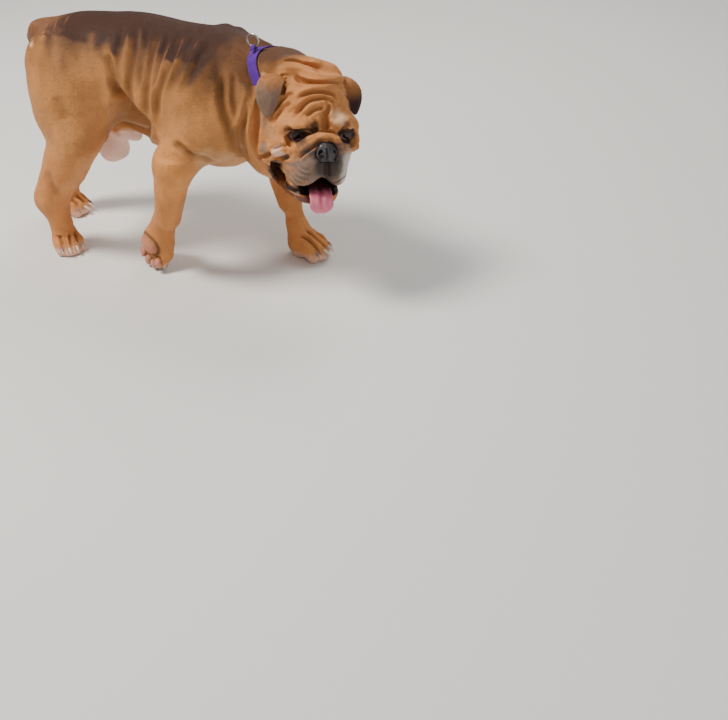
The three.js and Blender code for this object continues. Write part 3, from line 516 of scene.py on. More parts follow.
# %% Wrinkles of the flank, the shoulder and the thigh
FLANK = [
    (6.5, 3, [(124, 16), (122, 34), (119, 50), (117, 66), (118, 82), (122, 96)]),
    (6, 4.2, [(139, 17), (137, 36), (134, 54), (131, 72), (129, 90), (132, 106), (136, 118)]),
    (6, 3.6, [(152, 17), (148, 36), (143, 54), (140, 74), (139, 92)]),
    (6, 5, [(164, 17), (158, 38), (152, 56), (148, 76), (146, 95), (147, 112), (150, 126)]),
    (6, 4, [(175, 18), (168, 38), (161, 56), (156, 74), (152, 92)]),
    (6.5, 5.2, [(188, 20), (180, 39), (172, 58), (164, 76), (158, 95), (157, 112), (159, 128)]),
    (7, 4, [(202, 24), (192, 42), (183, 60), (174, 78), (167, 96)]),
    (8, 3, [(218, 34), (206, 50), (196, 64), (186, 80), (178, 96)]),
]
LIMBS = [
    (6, 7, [(106, 50), (109, 62), (112, 76), (114, 90), (119, 104)]),
    (5, 5, [(172, 142), (181, 148), (190, 154), (199, 162)]),
    (4, 3, [(193, 153), (205, 158), (215, 163)]),
    (9, 2.5, [(47, 170), (50, 180), (54, 190), (59, 198)]),
    (12, 2.5, [(54, 96), (60, 108), (67, 122)]),
    (5, 3.5, [(57, 15), (53, 23), (50, 31), (47, 38)]),
    (5, 2.5, [(66, 15), (61, 24), (58, 33)]),
    (3, 3, [(40, 34), (46, 32), (51, 33)]),
]
SLIDE = 6  # millimetres along the body between a wrinkle and its mirror image
LEFT_DEPTH = 0.5  # how deep a wrinkle is on the left side, as a share of its depth on the right
for width, depth, marks in FLANK:
    line, facing = clay.seen(marks)
    clay.fold(line, facing, width, depth, banks=0.4, soft_end=0.25)
    other = seen_from(BODY, line)[len(line) // 4 :] * (1, -1, 1) + (SLIDE, 0, 0)  # starts lower
    line, facing = clay.nearest(placed(BODY, other))
    clay.fold(line, facing, width, depth * LEFT_DEPTH, banks=0.25, soft_end=0.35)
for width, depth, marks in LIMBS:
    clay.fold(*clay.seen(marks), width, depth)
clay.settle()
print("body:", 2 * len(FLANK) + len(LIMBS), "wrinkles")

# %% [markdown]
# Between the thigh and the ribs the belly is tucked up. A fold of loose skin spans from one to the
# other, with a hollow under it. The left thigh stands further back, and so does its hollow.

# %% Tuck up the loin
LOIN = [(116, 76), (122, 88), (130, 98), (139, 109), (147, 116), (152, 122), (153, 156), (98, 156)]
LOIN += [(101, 131), (104, 121), (108, 108), (112, 93)]
LOIN_SOFT = 13  # picture points over which the hollow gets its depth
LOIN_TOP, LOIN_FOOT = 262, 165  # millimetres above the floor
LEFT_THIGH_BACK = 40  # millimetres
LOIN_IN, LOIN_UP = 0.4, 0.45  # shares of the way to the middle and up to the hollow's top
for side, back in ((-1, 0), (1, LEFT_THIGH_BACK)):
    local = seen_from(BODY, clay.points)
    shown = placed(BODY, local * (1, -side, 1) + (back, 0, 0))
    hollow = smoothstep(0, LOIN_SOFT, inside_by(in_picture(shown), LOIN))
    hollow *= smoothstep(LOIN_FOOT, LOIN_FOOT + 10, local[:, 2])
    hollow *= smoothstep(-0.5, -0.1, side * clay.normals[:, 1]) * smoothstep(18, 45, side * local[:, 1])
    local[:, 1] *= 1 - LOIN_IN * hollow
    local[:, 2] += LOIN_UP * hollow * np.maximum(0, LOIN_TOP - local[:, 2])
    clay.points = placed(BODY, local)
    # The hollow is kept, so that shade can be painted into it.
    clay.crease_shade = np.maximum(clay.crease_shade, 0.7 * hollow)
clay.settle()
print("loins: drawn in by", LOIN_IN, "and up by", LOIN_UP, "of the way")

# %% [markdown]
# The flews hang in fine folds that follow their lower edge.

# %% Fine folds of the flews
FLEW_WIDTH = 2.1
FLEW_CREASES = [
    (1.6, [(284, 170), (287, 178), (292, 183), (299, 186)]),
    (1.8, [(287, 169), (290, 176), (295, 181), (301, 183), (309, 182)]),
    (1.8, [(291, 167), (293, 173), (297, 177.5), (304, 179.5), (312, 178)]),
    (1.7, [(294, 163), (296, 169), (301, 173.5), (307, 175), (315, 173)]),
    (1.5, [(297, 161), (299, 166), (304, 170), (311, 170.5)]),
    (1.4, [(338, 150), (341.5, 158), (342, 166), (340, 174)]),
    (1.4, [(342, 150), (345, 157), (345, 165), (343, 172)]),
]
for depth, marks in FLEW_CREASES:
    clay.fold(*clay.seen(marks), FLEW_WIDTH, depth, banks=0.15)
clay.settle()
print("flews:", len(FLEW_CREASES), "fine folds")

# %% [markdown]
# The mouth stands open. Its line runs from the corner far back on the cheek, under the flews, to
# the front, with the lower lip as a thin rim outside it.

# %% The gap of the mouth
CORNER_BACK = [(282, 163), (276, 160), (270.5, 161), (270, 167), (273, 175)]
MOUTH_GAP = CORNER_BACK + [(279, 183), (287, 190), (297, 194), (307, 196), (313, 190), (303, 189.5)]
MOUTH_GAP += [(294, 188), (288, 184), (284, 178), (282, 170)]
CORNER_GAP = CORNER_BACK + [(278, 182), (283, 186), (284, 178), (282, 170)]
CORNER_DEPTH = 18  # millimetres
MOUTH_SIDE = (-20, -60, -72)  # its middle at the right side, in the head's frame
clay.press(CORNER_GAP, CORNER_DEPTH, 3, MOUTH_SIDE)
clay.settle()
print("mouth: its corners pressed in by", CORNER_DEPTH, "mm")

# %% [markdown]
# # The eyes' openings
# The lids are thin skin that lies on the eyeball, and a bulldog's lower lid sags. Around each eye
# the skin is laid on the ball along an almond, and inside the almond it is taken away behind it.

# %% Lay the lids on the eyes
GAZE = turned(0, 4, 8)  # the left eye looks a little out and down
OPENING = [math.radians(a) for a in (64, 17, 38)]  # to the corners, up and down
LID_TILT = math.radians(3)


def eye_frame(side):
    """A frame at an eye's middle, with X along its gaze; side is 1 for the left eye."""
    turn = Euler((0, GAZE.y, side * GAZE.z)).to_matrix().to_4x4()
    return HEAD @ Matrix.Translation((EYE_PLACE.x, side * EYE_PLACE.y, EYE_PLACE.z)) @ turn


def almond(local):
    """How far points of an eye's frame are from its opening: 1 on the lids' edge, less inside."""
    ways = local / np.linalg.norm(local, axis=1)[:, None]
    across = np.arctan2(ways[:, 1], ways[:, 0]) / OPENING[0]
    up = np.arcsin(ways[:, 2]) + LID_TILT * across
    return np.hypot(across, up / np.where(up > 0, OPENING[1], OPENING[2]))


for side in SIDES.values():
    local = seen_from(eye_frame(side), clay.points)
    radius = np.linalg.norm(local, axis=1)
    found = np.nonzero((radius < 23) & (local[:, 0] > -1))[0]
    local, radius = local[found], radius[found]
    off = almond(local)
    target = EYE_RADIUS - 3 + 4.6 * smoothstep(0.85, 1.15, off) + 2.4 * smoothstep(1.1, 1.7, off)
    share = smoothstep(1.6, 1.1, off) * smoothstep(22, 15, radius)
    local *= (1 + (target / radius - 1) * share)[:, None]
    clay.points[found] = placed(eye_frame(side), local)
clay.settle()
print("lids laid on the eyes")

# %% [markdown]
# The nose is a little narrower than its solid. One function narrows it, and the muzzle round it.
# The ears grow out of a curl of skin, which is a ring of small folds.

# %% Narrow the nose's place, and curl the skin at the ears' roots
NOSE_SHARE = 0.84
NOSE_PLACE = (34, 0, -17)


def narrowed(points):
    """Places of the scene, with those of the nose drawn in to the middle of the head."""
    local = seen_from(HEAD, points)
    near = smoothstep(1.5, 0.7, near_place(points, HEAD, NOSE_PLACE, (24, 30, 26)))
    local[:, 1] *= 1 - (1 - NOSE_SHARE) * near
    return placed(HEAD, local)


clay.points = narrowed(clay.points)
CURL = [(288.5, 79), (285.5, 82), (281.8, 80.5), (281.5, 76.5), (285, 74.5), (288.5, 76.5)]
CURL_HEART = [(283.5, 79), (285, 80), (286.5, 78.5), (285.5, 77)]
EAR_HOLLOW = [(281, 84), (280, 90), (281, 95), (285, 95), (286, 89), (284, 84)]
EAR_PLACE = (-38, -56, 66)  # the right one, in the head's frame
for width, depth, marks in ((1.7, 3.5, CURL), (1.4, 2.5, CURL_HEART)):
    fold_both(marks, width, depth, banks=0.6)
clay.press(EAR_HOLLOW, 9, 1.5, EAR_PLACE)
clay.settle()
print("nose: narrowed to", NOSE_SHARE, "of its width; ears: curled at their roots")

# %% [markdown]
# # The collar's groove
# The collar lies sunk between the folds of the neck. Its own frame has X along the neck, so the
# band is a ring in it. Wherever the folds don't close over the band, the skin is kept just inside
# the band's inner face, and rises again beside it.

# %% Tuck the skin under the collar
BAND_WIDTH = 20
BAND_THICKNESS = 2.6
COVERED_ANGLE = math.radians(218)
COVERED_HALF = math.radians(72)
STATIONS = 40  # places round the collar where its solid is measured
CLEARANCE = 1.2  # millimetres between the skin and the band's inner face


def ring_profile(node):
    """For even angles round the collar: the inner radius of a band and its middle along the neck."""
    points = seen_from(COLLAR, [v.co for v in nodes[node].data.vertices])
    angles = np.arctan2(points[:, 2], points[:, 1]) % FULL_TURN
    radii = np.hypot(points[:, 1], points[:, 2])
    at = np.arange(STATIONS) * 2 * math.pi / STATIONS
    inner, middle = [], []
    for angle in at:
        here = np.abs((angles - angle + math.pi) % FULL_TURN - math.pi) < math.pi / STATIONS
        inner.append(radii[here].min())
        middle.append((points[here, 0].min() + points[here, 0].max()) / 2)
    return at, np.array(inner), np.array(middle)


band_angles, *band_sizes = ring_profile("collar_band")


def band_at(angle):
    """The band's inner radius and its middle along the neck, at angles round the collar."""
    return [np.interp(angle, band_angles, values, period=FULL_TURN) for values in band_sizes]


def round_neck(places):
    """Places in the collar's frame: points, angles, radii, and how far along from the band."""
    local = seen_from(COLLAR, places)
    angle = np.arctan2(local[:, 2], local[:, 1]) % FULL_TURN
    return local, angle, np.hypot(local[:, 1], local[:, 2]), local[:, 0] - band_at(angle)[1]


local, angle, radius, beside = round_neck(clay.points)
beside = np.abs(beside)
soft = 0.1 + 0.35 * smoothstep(0, 0.5, np.sin(angle - COVERED_ANGLE))  # softer under the throat
open_here = smoothstep(1, -1, (np.cos(angle - COVERED_ANGLE) - math.cos(COVERED_HALF)) / soft)
allowed = band_at(angle)[0] - CLEARANCE
allowed = allowed + 1.6 * np.maximum(0, beside - BAND_WIDTH / 2 - 0.5) + 60 * (1 - open_here) ** 2
tucked = (beside < 30) & (radius > allowed) & (radius < 130)
scale = np.where(tucked, allowed / np.maximum(radius, 1), 1)
local[:, 1:] *= scale[:, None]
clay.points[tucked] = placed(COLLAR, local[tucked])
clay.settle()
print("tucked under the collar:", int(tucked.sum()), "points")

# %% [markdown]
# # Toes
# A paw's frame has X to the toe tips and Z up its back. Between two toes the skin is drawn in.

# %% Clefts between the toes
def paw_frame(forward, up, place):
    """A frame from the way its X looks, nearly the way its Z looks, and its place."""
    x = Vector(forward).normalized()
    z = Vector(up)
    z = (z - x * z.dot(x)).normalized()
    turn = Matrix((x, z.cross(x), z)).transposed().to_4x4()
    return BODY @ Matrix.Translation(place) @ turn


def flat_paw(x, y, yaw):
    turn = math.radians(yaw)
    return paw_frame((math.cos(turn), math.sin(turn), 0), (0, 0, 1), (x, y, -1.5))


PAWS = {
    "forepaw_right": (paw_frame((-0.05, 0.12, -0.99), (0.45, 0.89, 0), (-11, -107, 41)), 1.04),
    "forepaw_left": (flat_paw(247, 47, -4), 1.02),
    "hindpaw_right": (flat_paw(-196, -93, -38), 0.85),
    "hindpaw_left": (flat_paw(-274, 45, 4), 0.9),
}
CLEFTS = (-15.5, 0, 15.5)
CLEFT_WIDTH, CLEFT_DEPTH = 2.6, 4.5
for name, (paw, size) in PAWS.items():
    for across in CLEFTS:
        reach = 34 - 0.5 * abs(across)
        top = [(-16, 0.75 * across, 44), (4, 0.9 * across, 40), (reach - 8, across, 30)]
        line = placed(paw, size * np.array(top + [(reach + 2, across, 12)]))
        clay.fold(*clay.nearest(line), CLEFT_WIDTH * size, CLEFT_DEPTH * size, banks=0.3)
clay.settle()
print("clefts:", len(PAWS) * len(CLEFTS))

# %% [markdown]
# The lifted paw shows its sole: one broad pad, and one under each toe. Each swells out of the skin,
# with a narrow crease round it.

# %% Pads under the lifted paw
TOE_PAD = (11, 8.5, 8)
PADS = [((-12, 0, 6), (19, 22, 12))]
PADS += [((x, y, 4), TOE_PAD) for x, y in ((17, -23), (27, -8.5), (27, 8.5), (17, 23))]
PAD_SWELL, RIM_DEPTH, RIM_AT = 3.2, 1.6, 1.12
raised, raised_size = PAWS["forepaw_right"]
sole = np.array(raised.to_3x3().normalized() @ Vector((0, 0, -1)))


def off_pad(points, pad):
    """How far points are from a pad's middle, as a share of its size."""
    return near_place(points, raised, *(np.array(sizes) * raised_size for sizes in pad))


for pad in PADS:
    off = off_pad(clay.points, pad)
    under = smoothstep(0, 0.5, clay.normals @ sole)
    clay.points += clay.normals * (MM * PAD_SWELL * under * np.sqrt(np.clip(1 - off**2, 0, 1)))[:, None]
    rim = np.exp(-((off - RIM_AT) / 0.13) ** 2) * under
    clay.points -= clay.normals * (MM * RIM_DEPTH * rim)[:, None]
    # The crease round the pad is kept, so that shade can be painted into it.
    clay.crease_shade = np.maximum(clay.crease_shade, rim * 0.9)
clay.settle()
print("pads:", len(PADS))

# %% [markdown]
# The sculpted skin has more faces than it needs on the smooth trunk. A collapse keeps the face and
# the feet fine, and makes the rest coarser. How deep a point lies in a crease goes along as an
# attribute of the mesh, so that shade can be painted into the crease.

# %% Thin out the skin
SKIN_FACES = 196_000


def store(piece, name, values):
    """Keeps one number for each vertex in the piece's mesh, where a material can read it."""
    attribute = piece.data.attributes.get(name) or piece.data.attributes.new(name, "FLOAT", "POINT")
    set_numbers(attribute.data, "value", values)


def fineness(points):
    """How much of its fineness the skin keeps: 1 on the face, less on the feet, 0 elsewhere."""
    in_face = smoothstep(1.15, 0.9, near_place(points, HEAD, (8, 0, -22), (76, 100, 108)))
    return np.clip(in_face + smoothstep(62, 45, seen_from(BODY, points)[:, 2]) * 0.7, 0, 1)


COAT_DEPTH = 1.0
store(skin, "crease", clay.crease_shade)
group = shared_out(skin, 1 - fineness(clay.points))
ratio = SKIN_FACES / (2 * len(skin.data.polygons))
thinned = {"vertex_group": group, "vertex_group_factor": 1.0, "use_collapse_triangulate": True}
shaped(skin, "DECIMATE", ratio=ratio, **thinned)
skin.vertex_groups.clear()
softened(skin, 0.5 * (1 - fineness(points_of(skin))), 2)  # no face is left folded over
skin_points, skin_normals = points_of(skin), normals_of(skin)
skin_crease_shade = numbers(skin.data.attributes["crease"].data, "value").astype(float)
set_points(skin, skin_points - skin_normals * COAT_DEPTH * MM)
print("skin:", len(skin.data.polygons), "faces")

# %% [markdown]
# # Markings
# The coat is fawn, redder on the head and legs, with a dark saddle over the back, a grey muzzle and
# black round the nose, the eyes and the lips. Each marking is a soft patch round a place or along a
# line, with a ragged edge. Some patches are painted light and shade: shade in the creases and
# hollows, inside the mouth and under the brows, and a pool of sunlight on the near foreleg. The same
# colours are given to the skin and later to the hairs on it.

# %% Colours and patches
def colour(code):
    """A colour as the eye reads it, six hex digits, as the light that it reflects."""
    parts = np.array([int(code[n : n + 2], 16) / 255 for n in (0, 2, 4)])
    return np.where(parts > 0.04045, ((parts + 0.055) / 1.055) ** 2.4, parts / 12.92)


FAWN, RED_FAWN, SADDLE_AND_CREASE_SHADE = colour("b87c46"), colour("c98248"), colour("371b0c")
CREAM, PALE_GREY, BLACK = colour("e6bd92"), colour("b7a898"), colour("211a19")
BROW_CREAM, SUNLIT, FLEW_PALE = colour("ffd0a0"), colour("e2954f"), colour("d8cdc0")
MUZZLE, EAR_GREY, BARE_PINK = colour("75675d"), colour("7d6352"), colour("fcdac9")
PAD_PINK, MOUTH_SHADE, TAIL_RED, LIP = colour("cc8474"), colour("24110f"), colour("6d452c"), colour("5c3834")


def ripple(points, size, seed):
    """A soft random field, mostly between -1 and 1, with waves of about this many millimetres."""
    draw = np.random.default_rng(seed)
    waves = draw.normal(size=(3, 12)) * math.pi / (size * MM)
    return np.sin(points @ waves + draw.uniform(0, 2 * math.pi, 12)).sum(axis=1) / 3.5


def patch(points, matrix, place, radii, soft=0.3, ragged=0.12, seed=1):
    """1 inside a soft, ragged ball round a place, and 0 outside it."""
    off = near_place(points, matrix, place, radii) + ragged * ripple(points, 14, seed)
    return smoothstep(1 + soft, 1 - soft, off)


def along(points, line, width):
    """1 on a line, and 0 further off than about twice the width in millimetres."""
    mask = np.zeros(len(points))
    found, off, _ = near_line(points, line, 2.5 * width * MM)
    mask[found] = np.exp(-((off / (width * MM)) ** 2))
    return mask


def at_mark(u, v):
    """The place on the skin that a mark in the picture shows, in the body's frame."""
    return BODY.inverted() @ clay.tree.ray_cast(camera.location, sight(u, v))[0]


# Some of these patches are painted shade: the two black ones over the right eye's inner corner, under the
# brow, and the black one beside the mouth's corner, behind the cheek.
PATCHES_SEEN = [  # a mark, a reach in millimetres, a colour and its strength
    ((339, 117), 14, BROW_CREAM, 0.5), ((340, 117), 8, BROW_CREAM, 0.5), ((308, 126), 9, BLACK, 0.75),
    ((314, 126), 9, BLACK, 0.75), ((345.5, 125), 8, BLACK, 0.75), ((265, 148), 10, MUZZLE, 0.8),
    ((279, 152), 11, BARE_PINK, 0.5), ((263, 121), 12, MUZZLE, 0.5), ((344, 165), 17, PALE_GREY, 0.9),
    ((271, 133), 12, EAR_GREY, 0.4), ((307, 148), 9, MUZZLE, 0.45), ((345, 146), 8, MUZZLE, 0.45),
    ((43, 25), 20, TAIL_RED, 0.7), ((53, 30), 16, TAIL_RED, 0.5), ((262, 160), 9, BLACK, 0.4),
    ((31, 44), 5, CREAM, 0.7), ((206, 158), 22, CREAM, 0.2), ((262, 77), 8, CREAM, 0.4),
]
LIP_EDGE = [(281, 167), (284, 177), (288, 184), (294, 188.5), (303, 190), (312, 188), (320, 182), (326, 177)]
LIP_EDGE_LEFT = [(326, 177), (329, 181), (334, 183.5), (340, 181), (346, 176)]
# The first band is painted shade in the crease under the right brow; the others darken the skin round the
# eyes.
EYE_BANDS = [([(285, 131), (291, 129.5), (300, 129), (309, 128.5), (317, 130)], 3.6)]
EYE_BANDS += [([(305, 138), (309, 134), (313, 131)], 3.5)]
EYE_BANDS += [([(343, 125), (346, 130), (349, 137), (351, 144)], 5)]
JAW_LIP = [(276, 178), (284, 186), (292, 193), (303, 196), (316, 195)]
JAW_LIP += [(317, 206), (306, 206), (297, 203), (288, 197)]
JAW_RIM = [(284, 192), (290, 198), (297, 202), (306, 204.5), (315, 205)]
jaw_rim, _ = clay.seen(JAW_RIM)
dark_lines = [(clay.seen(marks)[0], width, 0.85) for marks, width in EYE_BANDS]
dark_lines += [(clay.seen(marks)[0], 2.6, 0.8) for marks in (LIP_EDGE, LIP_EDGE_LEFT)]


def markings(points, normals, crease_shade):
    """The colour of the coat with its painted shade and light, and how bare and moist the skin is, for points
    on the skin.
    """
    body, head = seen_from(BODY, points), seen_from(HEAD, points)
    x, y, z = body.T
    in_head = smoothstep(1.25, 1.0, near_place(points, HEAD, (-20, 0, -10), (96, 104, 118)))
    found = np.tile(FAWN, (len(points), 1))
    bare = np.zeros(len(points))

    def lay(tone, mask):
        found[:] = found + (tone - found) * np.clip(mask, 0, 1)[:, None]

    def strip(mask):
        bare[:] = np.maximum(bare, mask)

    lay(RED_FAWN, 0.8 * smoothstep(260, 170, z) + 0.8 * in_head)
    edge = z - 10 * ripple(points, 60, 2)
    amidships = 0.45 + 0.55 * smoothstep(-225, -130, x) * smoothstep(190, 60, x)
    haze = smoothstep(300, 400, edge) + 0.7 * smoothstep(330, 370, edge) * smoothstep(60, 150, x)
    top = smoothstep(0.3, 0.98, normals[:, 2] + 0.1 * ripple(points, 40, 3))
    lay(SADDLE_AND_CREASE_SHADE, (0.84 * top * smoothstep(340, 372, edge) * amidships + 0.3 * haze) * (1 - in_head))
    lay(TAIL_RED, 0.9 * patch(points, BODY, (-240, -6, 378), (44, 44, 36)))
    lay(CREAM, 0.35 * smoothstep(-0.25, -0.8, normals[:, 2]) * smoothstep(120, 180, z))
    for mark, reach, tone, strength in PATCHES_SEEN:
        lay(tone, strength * patch(points, BODY, at_mark(*mark), (reach,) * 3, seed=reach))
    lay(SUNLIT, 0.6 * patch(points, BODY, at_mark(170, 180), (40, 40, 60), soft=0.5))
    muzzle = patch(points, HEAD, (18, 0, -50), (52, 60, 46), soft=0.22)
    lay(MUZZLE, 0.88 * muzzle * smoothstep(30, 2, head[:, 2] + 0.3 * np.abs(head[:, 1])))
    lay(FLEW_PALE, 0.85 * patch(points, HEAD, (20, 40, -50), (28, 18, 32)))
    lay(BLACK, 0.8 * patch(points, HEAD, (46, 3, -40), (24, 22, 28), soft=0.4))
    lay(BLACK, 0.7 * patch(points, HEAD, (40, 0, -14), (24, 28, 17), soft=0.45))
    # Painted shade in the creases, hollows and dents, in the saddle's dark brown; on the flank's wrinkles it
    # also stands for the darker hair in their valleys.
    lay(SADDLE_AND_CREASE_SHADE, (0.26 + 0.24 * (1 - in_head)) * crease_shade)
    for side in (-1, 1):
        rim = patch(points, HEAD, (8, side * 41, 0), (24, 17.5, 11.5), soft=0.22, ragged=0.05)
        lay(BLACK, 0.92 * rim)
        strip(0.45 * rim)
    for line, width, strength in dark_lines:
        lay(BLACK, strength * along(points, line, width))
    # The inside of the open mouth is painted near black, as painted shade.
    inside = patch(points, HEAD, (-6, 0, -84), (44, 41, 14), soft=0.15, ragged=0)
    near = np.nonzero(in_head * (head[:, 0] > -62) * (head[:, 2] < -30) * (head[:, 2] > -112) > 0)[0]
    face, out = points[near], normals[near]
    for eye, shown in ((lens, face), (mirrored(lens)[0], mirrored(face))):
        facing = ((eye - face) * out).sum(axis=1)
        gap = smoothstep(-0.6, 0.8, inside_by(in_picture(shown), MOUTH_GAP)) * smoothstep(0, 0.4, facing)
        inside[near] = np.maximum(inside[near], gap)
    lay(MOUTH_SHADE, inside)
    strip(inside)
    lip = np.zeros(len(points))
    facing = ((lens - face) * out).sum(axis=1)
    lip[near] = smoothstep(-0.8, 1.2, inside_by(in_picture(face), JAW_LIP)) * (facing > 0)
    lay(LIP, 0.9 * lip)
    lay(BARE_PINK, 0.5 * lip * along(points, jaw_rim, 2))
    strip(lip)
    under = patch(points, BODY, (-122, 0, 190), (46, 42, 50), soft=0.15)
    under = np.maximum(under, patch(points, BODY, (-92, 0, 214), (48, 22, 20), soft=0.25))
    lay(BARE_PINK, 0.95 * under)
    strip(0.5 * under)
    lay(BARE_PINK, 0.45 * smoothstep(26, 8, z))
    below = smoothstep(0, 0.4, normals @ sole)
    for pad in PADS:
        off = off_pad(points, pad)
        mask = smoothstep(1.05, 0.9, off) * below
        lay(PAD_PINK, 0.95 * mask)
        strip(0.7 * mask)
        # Painted shade in the crease round each pad.
        lay(BLACK, 0.6 * np.exp(-((off - RIM_AT) / 0.12) ** 2) * below)
    return found, bare


def paint(piece, colours, bare):
    """Stores the markings on a piece, where its material reads them."""
    layers = piece.data.color_attributes
    layer = layers.get("coat") or layers.new("coat", "FLOAT_COLOR", "POINT")
    set_numbers(layer.data, "color", np.hstack([colours, np.ones((len(colours), 1))]))
    store(piece, "bare", bare)


skin_colours, skin_bare = markings(skin_points, skin_normals, skin_crease_shade)
paint(skin, skin_colours, skin_bare)
print("markings on", len(skin_points), "points")

# %% [markdown]
# # Finishes
# A material is a short chain of nodes. A small helper adds a node and wires it, so that each
# finish reads as what it does: the stored colour, broken up by fine noise, roughness that follows
# how bare the skin is, and a bump of short hairs.

# %% Helpers for node materials
class Finish:
    """A material under construction, around one Principled shader."""

    def __init__(self, name, roughness=0.5, **sockets):
        self.material = bpy.data.materials.new(name)
        self.material.use_nodes = True
        self.tree = self.material.node_tree
        self.shader = self.tree.nodes["Principled BSDF"]
        self.set("Roughness", roughness)
        for socket, value in sockets.items():
            self.set(socket.replace("_", " "), value)

    def set(self, socket, value):
        """Sets a socket of the shader to a value, or wires it to a node's output."""
        if isinstance(value, bpy.types.NodeSocket):
            self.tree.links.new(value, self.shader.inputs[socket])
        else:
            self.shader.inputs[socket].default_value = value

    def node(self, kind, output=0, options=None, **inputs):
        """Adds a node with its inputs set or wired, and gives one of its outputs."""
        made = self.tree.nodes.new("ShaderNode" + kind)
        for key, value in (options or {}).items():
            setattr(made, key, value)
        for key, value in inputs.items():
            socket = made.inputs[int(key[1:])] if key[1:].isdigit() else made.inputs[key.replace("_", " ")]
            if isinstance(value, bpy.types.NodeSocket):
                self.tree.links.new(value, socket)
            else:
                socket.default_value = value
        return made.outputs[output]

    def place(self, scale=(1, 1, 1)):
        """Object coordinates, stretched."""
        return self.node("Mapping", Vector=self.node("TexCoord", "Object"), Scale=scale)

    def noise(self, scale, detail=3.0, stretch=(1, 1, 1)):
        """A soft random pattern, mostly between 0.3 and 0.7."""
        where = self.place(stretch)
        return self.node("TexNoise", "Fac", Scale=scale, Vector=where, Detail=detail, Roughness=0.55)

    def cells(self, scale, feature="F1"):
        """A pattern of small cells."""
        return self.node("TexVoronoi", "Distance", {"feature": feature}, Vector=self.place(), Scale=scale)

    def stored(self, name, output="Fac"):
        return self.node("Attribute", output, {"attribute_name": name})

    def ranged(self, value, low, high, start=0.0, end=1.0):
        ends = {"From_Min": start, "From_Max": end, "To_Min": low, "To_Max": high}
        return self.node("MapRange", Value=value, **ends)

    def varied(self, pattern, low, high):
        """A noise, as a factor from low to high."""
        return self.ranged(pattern, low, high, 0.3, 0.7)

    def math(self, operation, a, b):
        return self.node("Math", 0, {"operation": operation}, i0=a, i1=b)

    def times(self, tone, factor):
        """A colour made lighter or darker by a number."""
        return self.node("VectorMath", 0, {"operation": "SCALE"}, i0=tone, i3=factor)

    def tint(self, tone, factor):
        """Sets the colour: six hex digits or a node's output, made lighter or darker by a number."""
        tone = tuple(colour(tone)) if isinstance(tone, str) else tone
        self.set("Base Color", self.times(tone, factor))

    def blend(self, name, low, high):
        """The first colour where a stored number is 0, and the second where it is 1."""
        tones = {"i6": (*colour(low), 1), "i7": (*colour(high), 1)}
        return self.node("Mix", "Result", {"data_type": "RGBA"}, i0=self.stored(name), **tones)

    def bump(self, height, strength, distance):
        depth = distance * MM
        self.set("Normal", self.node("Bump", Height=height, Strength=strength, Distance=depth))


print("helpers of a finish:", [name for name in vars(Finish) if not name.startswith("_")])

# %% [markdown]
# The first finish is the short coat itself. Every piece is dressed in the same way: it gets its
# material, and the solids that it stands for are hidden.

# %% The finish of the coat, and how a piece is dressed
BARE_ROUGHNESS = 0.34
pieces = []


def coat_finish(name, roughness):
    """Short, flat hair over skin, coloured by the stored markings."""
    coat = Finish(name, roughness, Sheen_Weight=0.05, Sheen_Roughness=0.45, Specular_IOR_Level=0.22)
    hairs, mottle = coat.noise(520.0, detail=2.0), coat.noise(26.0, detail=4.0)
    lightness = coat.math("MULTIPLY", coat.varied(hairs, 0.86, 1.14), coat.varied(mottle, 0.88, 1.12))
    coat.tint(coat.stored("coat", "Color"), lightness)
    coat.set("Roughness", coat.ranged(coat.stored("bare"), roughness, BARE_ROUGHNESS))
    coat.bump(hairs, 0.35, 0.8)
    return coat.material


def dress(piece, material, slot, *solids):
    """Gives a piece its material, and hides the solids that it stands for. The slot is not used."""
    piece.data.materials.append(material)
    if solids:
        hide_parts(*solids)
    pieces.append(piece)
    return piece


short_coat = coat_finish("short_coat", 0.68)
skin.data.materials.clear()
dress(skin, short_coat, "coat", *FLESH)
print("finish:", short_coat.name)

# %% [markdown]
# # The eyes
# An eyeball isn't a plain ball: the clear cornea bulges in front of the iris and catches the
# light. So a sphere is drawn out inside the rim of the iris. How far each point is from the middle
# of the pupil is kept as an attribute, and a ramp over it gives pupil, iris and white.

# %% Eyeballs
IRIS_ANGLE = math.radians(36)
IRIS_EDGE = 0.9  # the stored distance at the rim of the iris
CORNEA = 0.055  # how far the cornea bulges, as a share of the ball's radius
IRIS_STOPS = [(0.0, "080606"), (0.34, "0b0807"), (0.42, "2a140c"), (0.72, "33190f"), (0.86, "120a08")]
IRIS_STOPS += [(0.93, "7d635c"), (1.0, "8f746b")]


def eye_finish():
    eye = Finish("wet_eye", 0.08, Coat_Weight=0.5, Coat_Roughness=0.03, Specular_IOR_Level=0.35)
    fibres = eye.varied(eye.noise(90.0, detail=5.0), -0.05, 0.05)
    ramp = eye.node("ValToRGB", "Color", Fac=eye.math("ADD", eye.stored("from_pupil"), fibres))
    elements = ramp.node.color_ramp.elements
    for number, (place, code) in enumerate(IRIS_STOPS):
        stop = elements[number] if number < 2 else elements.new(place)
        stop.position, stop.color = place, (*colour(code), 1)
    eye.set("Base Color", ramp)
    return eye.material


